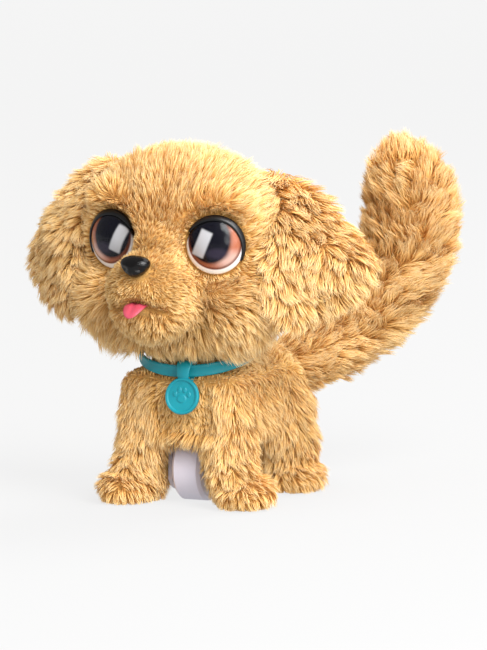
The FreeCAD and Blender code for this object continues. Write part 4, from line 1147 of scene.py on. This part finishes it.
FINISHES = {
    "filling": wadding_material(),
    "chassis_plastic": moulded("chassis_abs", "DAD5E2", 0.42, mottle=0.03, relief=0.05),
    "door_plastic": moulded("door_abs", "D6D1DF", 0.46, mottle=0.03, relief=0.05),
    "skull_plastic": moulded("skull_abs", "DEDCD8", 0.5, mottle=0.03, relief=0.05),
    "wheel_plastic": moulded("wheel_satin", "E6E1EE", 0.34, mottle=0.025, relief=0.03),
    "gear_plastic": moulded("natural_acetal", "ECEADF", 0.3, mottle=0.03, relief=0.02),
    "steel": moulded("bright_steel", "BEBEC2", 0.28, 1.0, relief=0.01, stretch=(8, 1, 1)),
    "motor_steel": moulded("plated_can", "B5B6B8", 0.34, 1.0, relief=0.01, stretch=(1, 1, 8)),
    "cell": cell_material(),
    "contact": moulded("nickel", "D2D2D5", 0.2, 1.0, relief=0.01),
    "board": board_material(),
    "lead": moulded("wire_sleeve", "B8201A", 0.42, mottle=0.06, relief=0.02),
    "speaker": moulded("paper_cone", "1D1D1F", 0.8, mottle=0.15, grain=700.0, relief=0.12),
    "button": moulded("dark_abs", "42444C", 0.45, relief=0.04),
    "eye_lens": lens_material(),
    "eyelid": moulded("black_lid", "0B0B0D", 0.35, mottle=0.2, relief=0.02),
    "collar": TEAL,
}
for part in frame["record"]["subparts"]:
    node = part["node"]
    finish = FINISHES.get(part["material_slot"])
    if finish is not None:
        for held in frame["nodes"][node].material_slots:
            held.material = finish


# ---- build the plush ----

head = head_skin()
grow("head_fur", head, "head", head_coat, seed=11, per_area=1.5, strands_per_lock=16,
     width=0.5, wander=0.22)
torso = body_skin()
grow("body_fur", torso, "chassis", body_coat, seed=12, strands_per_lock=18, width=0.5,
     wander=0.25)
tail = tail_skin()
tail_wadding()
grow("tail_fur", tail, "tail", tail_coat, seed=13, strands_per_lock=30, wander=0.55)
for ear_name, side, ear_body in (("ear_left", 1, "ear_l"), ("ear_right", -1, "ear_r")):
    ear = ear_skin(f"{ear_name}_skin", side, ear_body, ear_name)
    grow(f"{ear_name}_fur", ear, ear_body, ear_coat(side), seed=14 + side,
         strands_per_lock=34, width=0.58)
for side, word in ((1, "left"), (-1, "right")):
    eye_pieces(side, word)
nose_piece()
tongue_piece()
collar_piece()
tag_piece()


# ---- studio ----

FLOOR_NEAR = 0.875  # the floor's own glow under the lights and far from them
FLOOR_FAR = 0.95


def backdrop():
    """A very wide pale floor that fades evenly into the pale surroundings."""
    reach = 60000
    mesh = bpy.data.meshes.new("studio_floor")
    corners = [(-reach, -reach, 0), (reach, -reach, 0), (reach, reach, 0), (-reach, reach, 0)]
    mesh.from_pydata((np.array(corners) * MM).tolist(), [], [(0, 1, 2, 3)])
    floor = placed("studio_floor", mesh)
    tree = Tree("pale_floor")
    grain = tree.noise(tree.place(), 400.0, 2.0)
    shade = tree.mix(grain, (0.80, 0.80, 0.80, 1), (0.84, 0.84, 0.84, 1))
    lit = tree.add("ShaderNodeBsdfDiffuse", {"Color": shade}).outputs[0]
    away = tree.add("ShaderNodeVectorMath", {0: tree.place()}, operation="LENGTH")
    level = tree.span(away.outputs["Value"], 0.3, 4.0, FLOOR_NEAR, FLOOR_FAR)
    seen = tree.add("ShaderNodeLightPath").outputs["Is Camera Ray"]
    level = tree.math("MULTIPLY", level, tree.span(seen, 0, 1, 0.6, 1.0))
    glow = tree.add("ShaderNodeEmission", {"Strength": level}).outputs[0]
    both = tree.add("ShaderNodeMixShader", {0: 0.90, 1: lit, 2: glow})
    mesh.materials.append(tree.finish(both.outputs[0]))


def surroundings():
    """Pale to the camera, a soft even light for the object, and dimmer in reflections."""
    tree = Tree("studio", bpy.data.worlds)
    path = tree.add("ShaderNodeLightPath").outputs
    level = tree.add("ShaderNodeMapRange", {"Value": path["Is Glossy Ray"], "To Min": 0.78,
                                            "To Max": 0.3}).outputs[0]
    lighting = tree.add("ShaderNodeBackground", {"Color": (1.0, 0.99, 0.98, 1),
                                                 "Strength": level}).outputs[0]
    seen = tree.add("ShaderNodeBackground", {"Color": (0.925, 0.925, 0.925, 1)}).outputs[0]
    both = tree.add("ShaderNodeMixShader", {0: path["Is Camera Ray"], 1: lighting, 2: seen})
    bpy.context.scene.world = tree.finish(both.outputs[0], "ShaderNodeOutputWorld")


def aimed(name, data, place, target):
    """A light or camera at a place, turned toward a target."""
    made = placed(name, data)
    made.location = Vector(place)
    made.rotation_euler = (Vector(target) - Vector(place)).to_track_quat("-Z", "Y").to_euler()
    return made


def soft_light(name, place, size, power):
    data = bpy.data.lights.new(name, "AREA")
    data.shape = "DISK"
    data.size = size
    data.energy = power
    data.specular_factor = 0.5
    aimed(name, data, place, (0, 0, 0.1))


CAMERA_AZIMUTH = math.radians(24)
CAMERA_HEIGHT = math.radians(8)
VIEW_TALL = 403.0  # millimetres seen from top to bottom of the picture
CAMERA_AWAY = 6000.0
LOOK_RIGHT = 10.2
LOOK_UP = 101.9


def camera():
    """A far camera with a long lens, so that the picture has almost no perspective."""
    toward = np.array([math.sin(CAMERA_AZIMUTH) * math.cos(CAMERA_HEIGHT),
                       -math.cos(CAMERA_AZIMUTH) * math.cos(CAMERA_HEIGHT),
                       math.sin(CAMERA_HEIGHT)])
    right = np.array([math.cos(CAMERA_AZIMUTH), math.sin(CAMERA_AZIMUTH), 0.0])
    up = np.cross(toward, right)
    look = right * LOOK_RIGHT + up * LOOK_UP
    data = bpy.data.cameras.new("camera")
    data.sensor_fit = "VERTICAL"
    data.sensor_height = 36
    data.lens = 36 * CAMERA_AWAY / VIEW_TALL
    data.clip_end = 1000
    away = look + toward * CAMERA_AWAY
    bpy.context.scene.camera = aimed("camera", data, away * MM, look * MM)


backdrop()
surroundings()
soft_light("key", (1.1, -0.8, 1.45), 1.2, 42)
soft_light("fill", (1.5, -1.0, 0.5), 1.2, 16)
soft_light("rim", (0.5, 1.2, 1.4), 1.0, 22)
camera()
bpy.context.scene.view_settings.view_transform = "Standard"

bpy.context.view_layer.update()
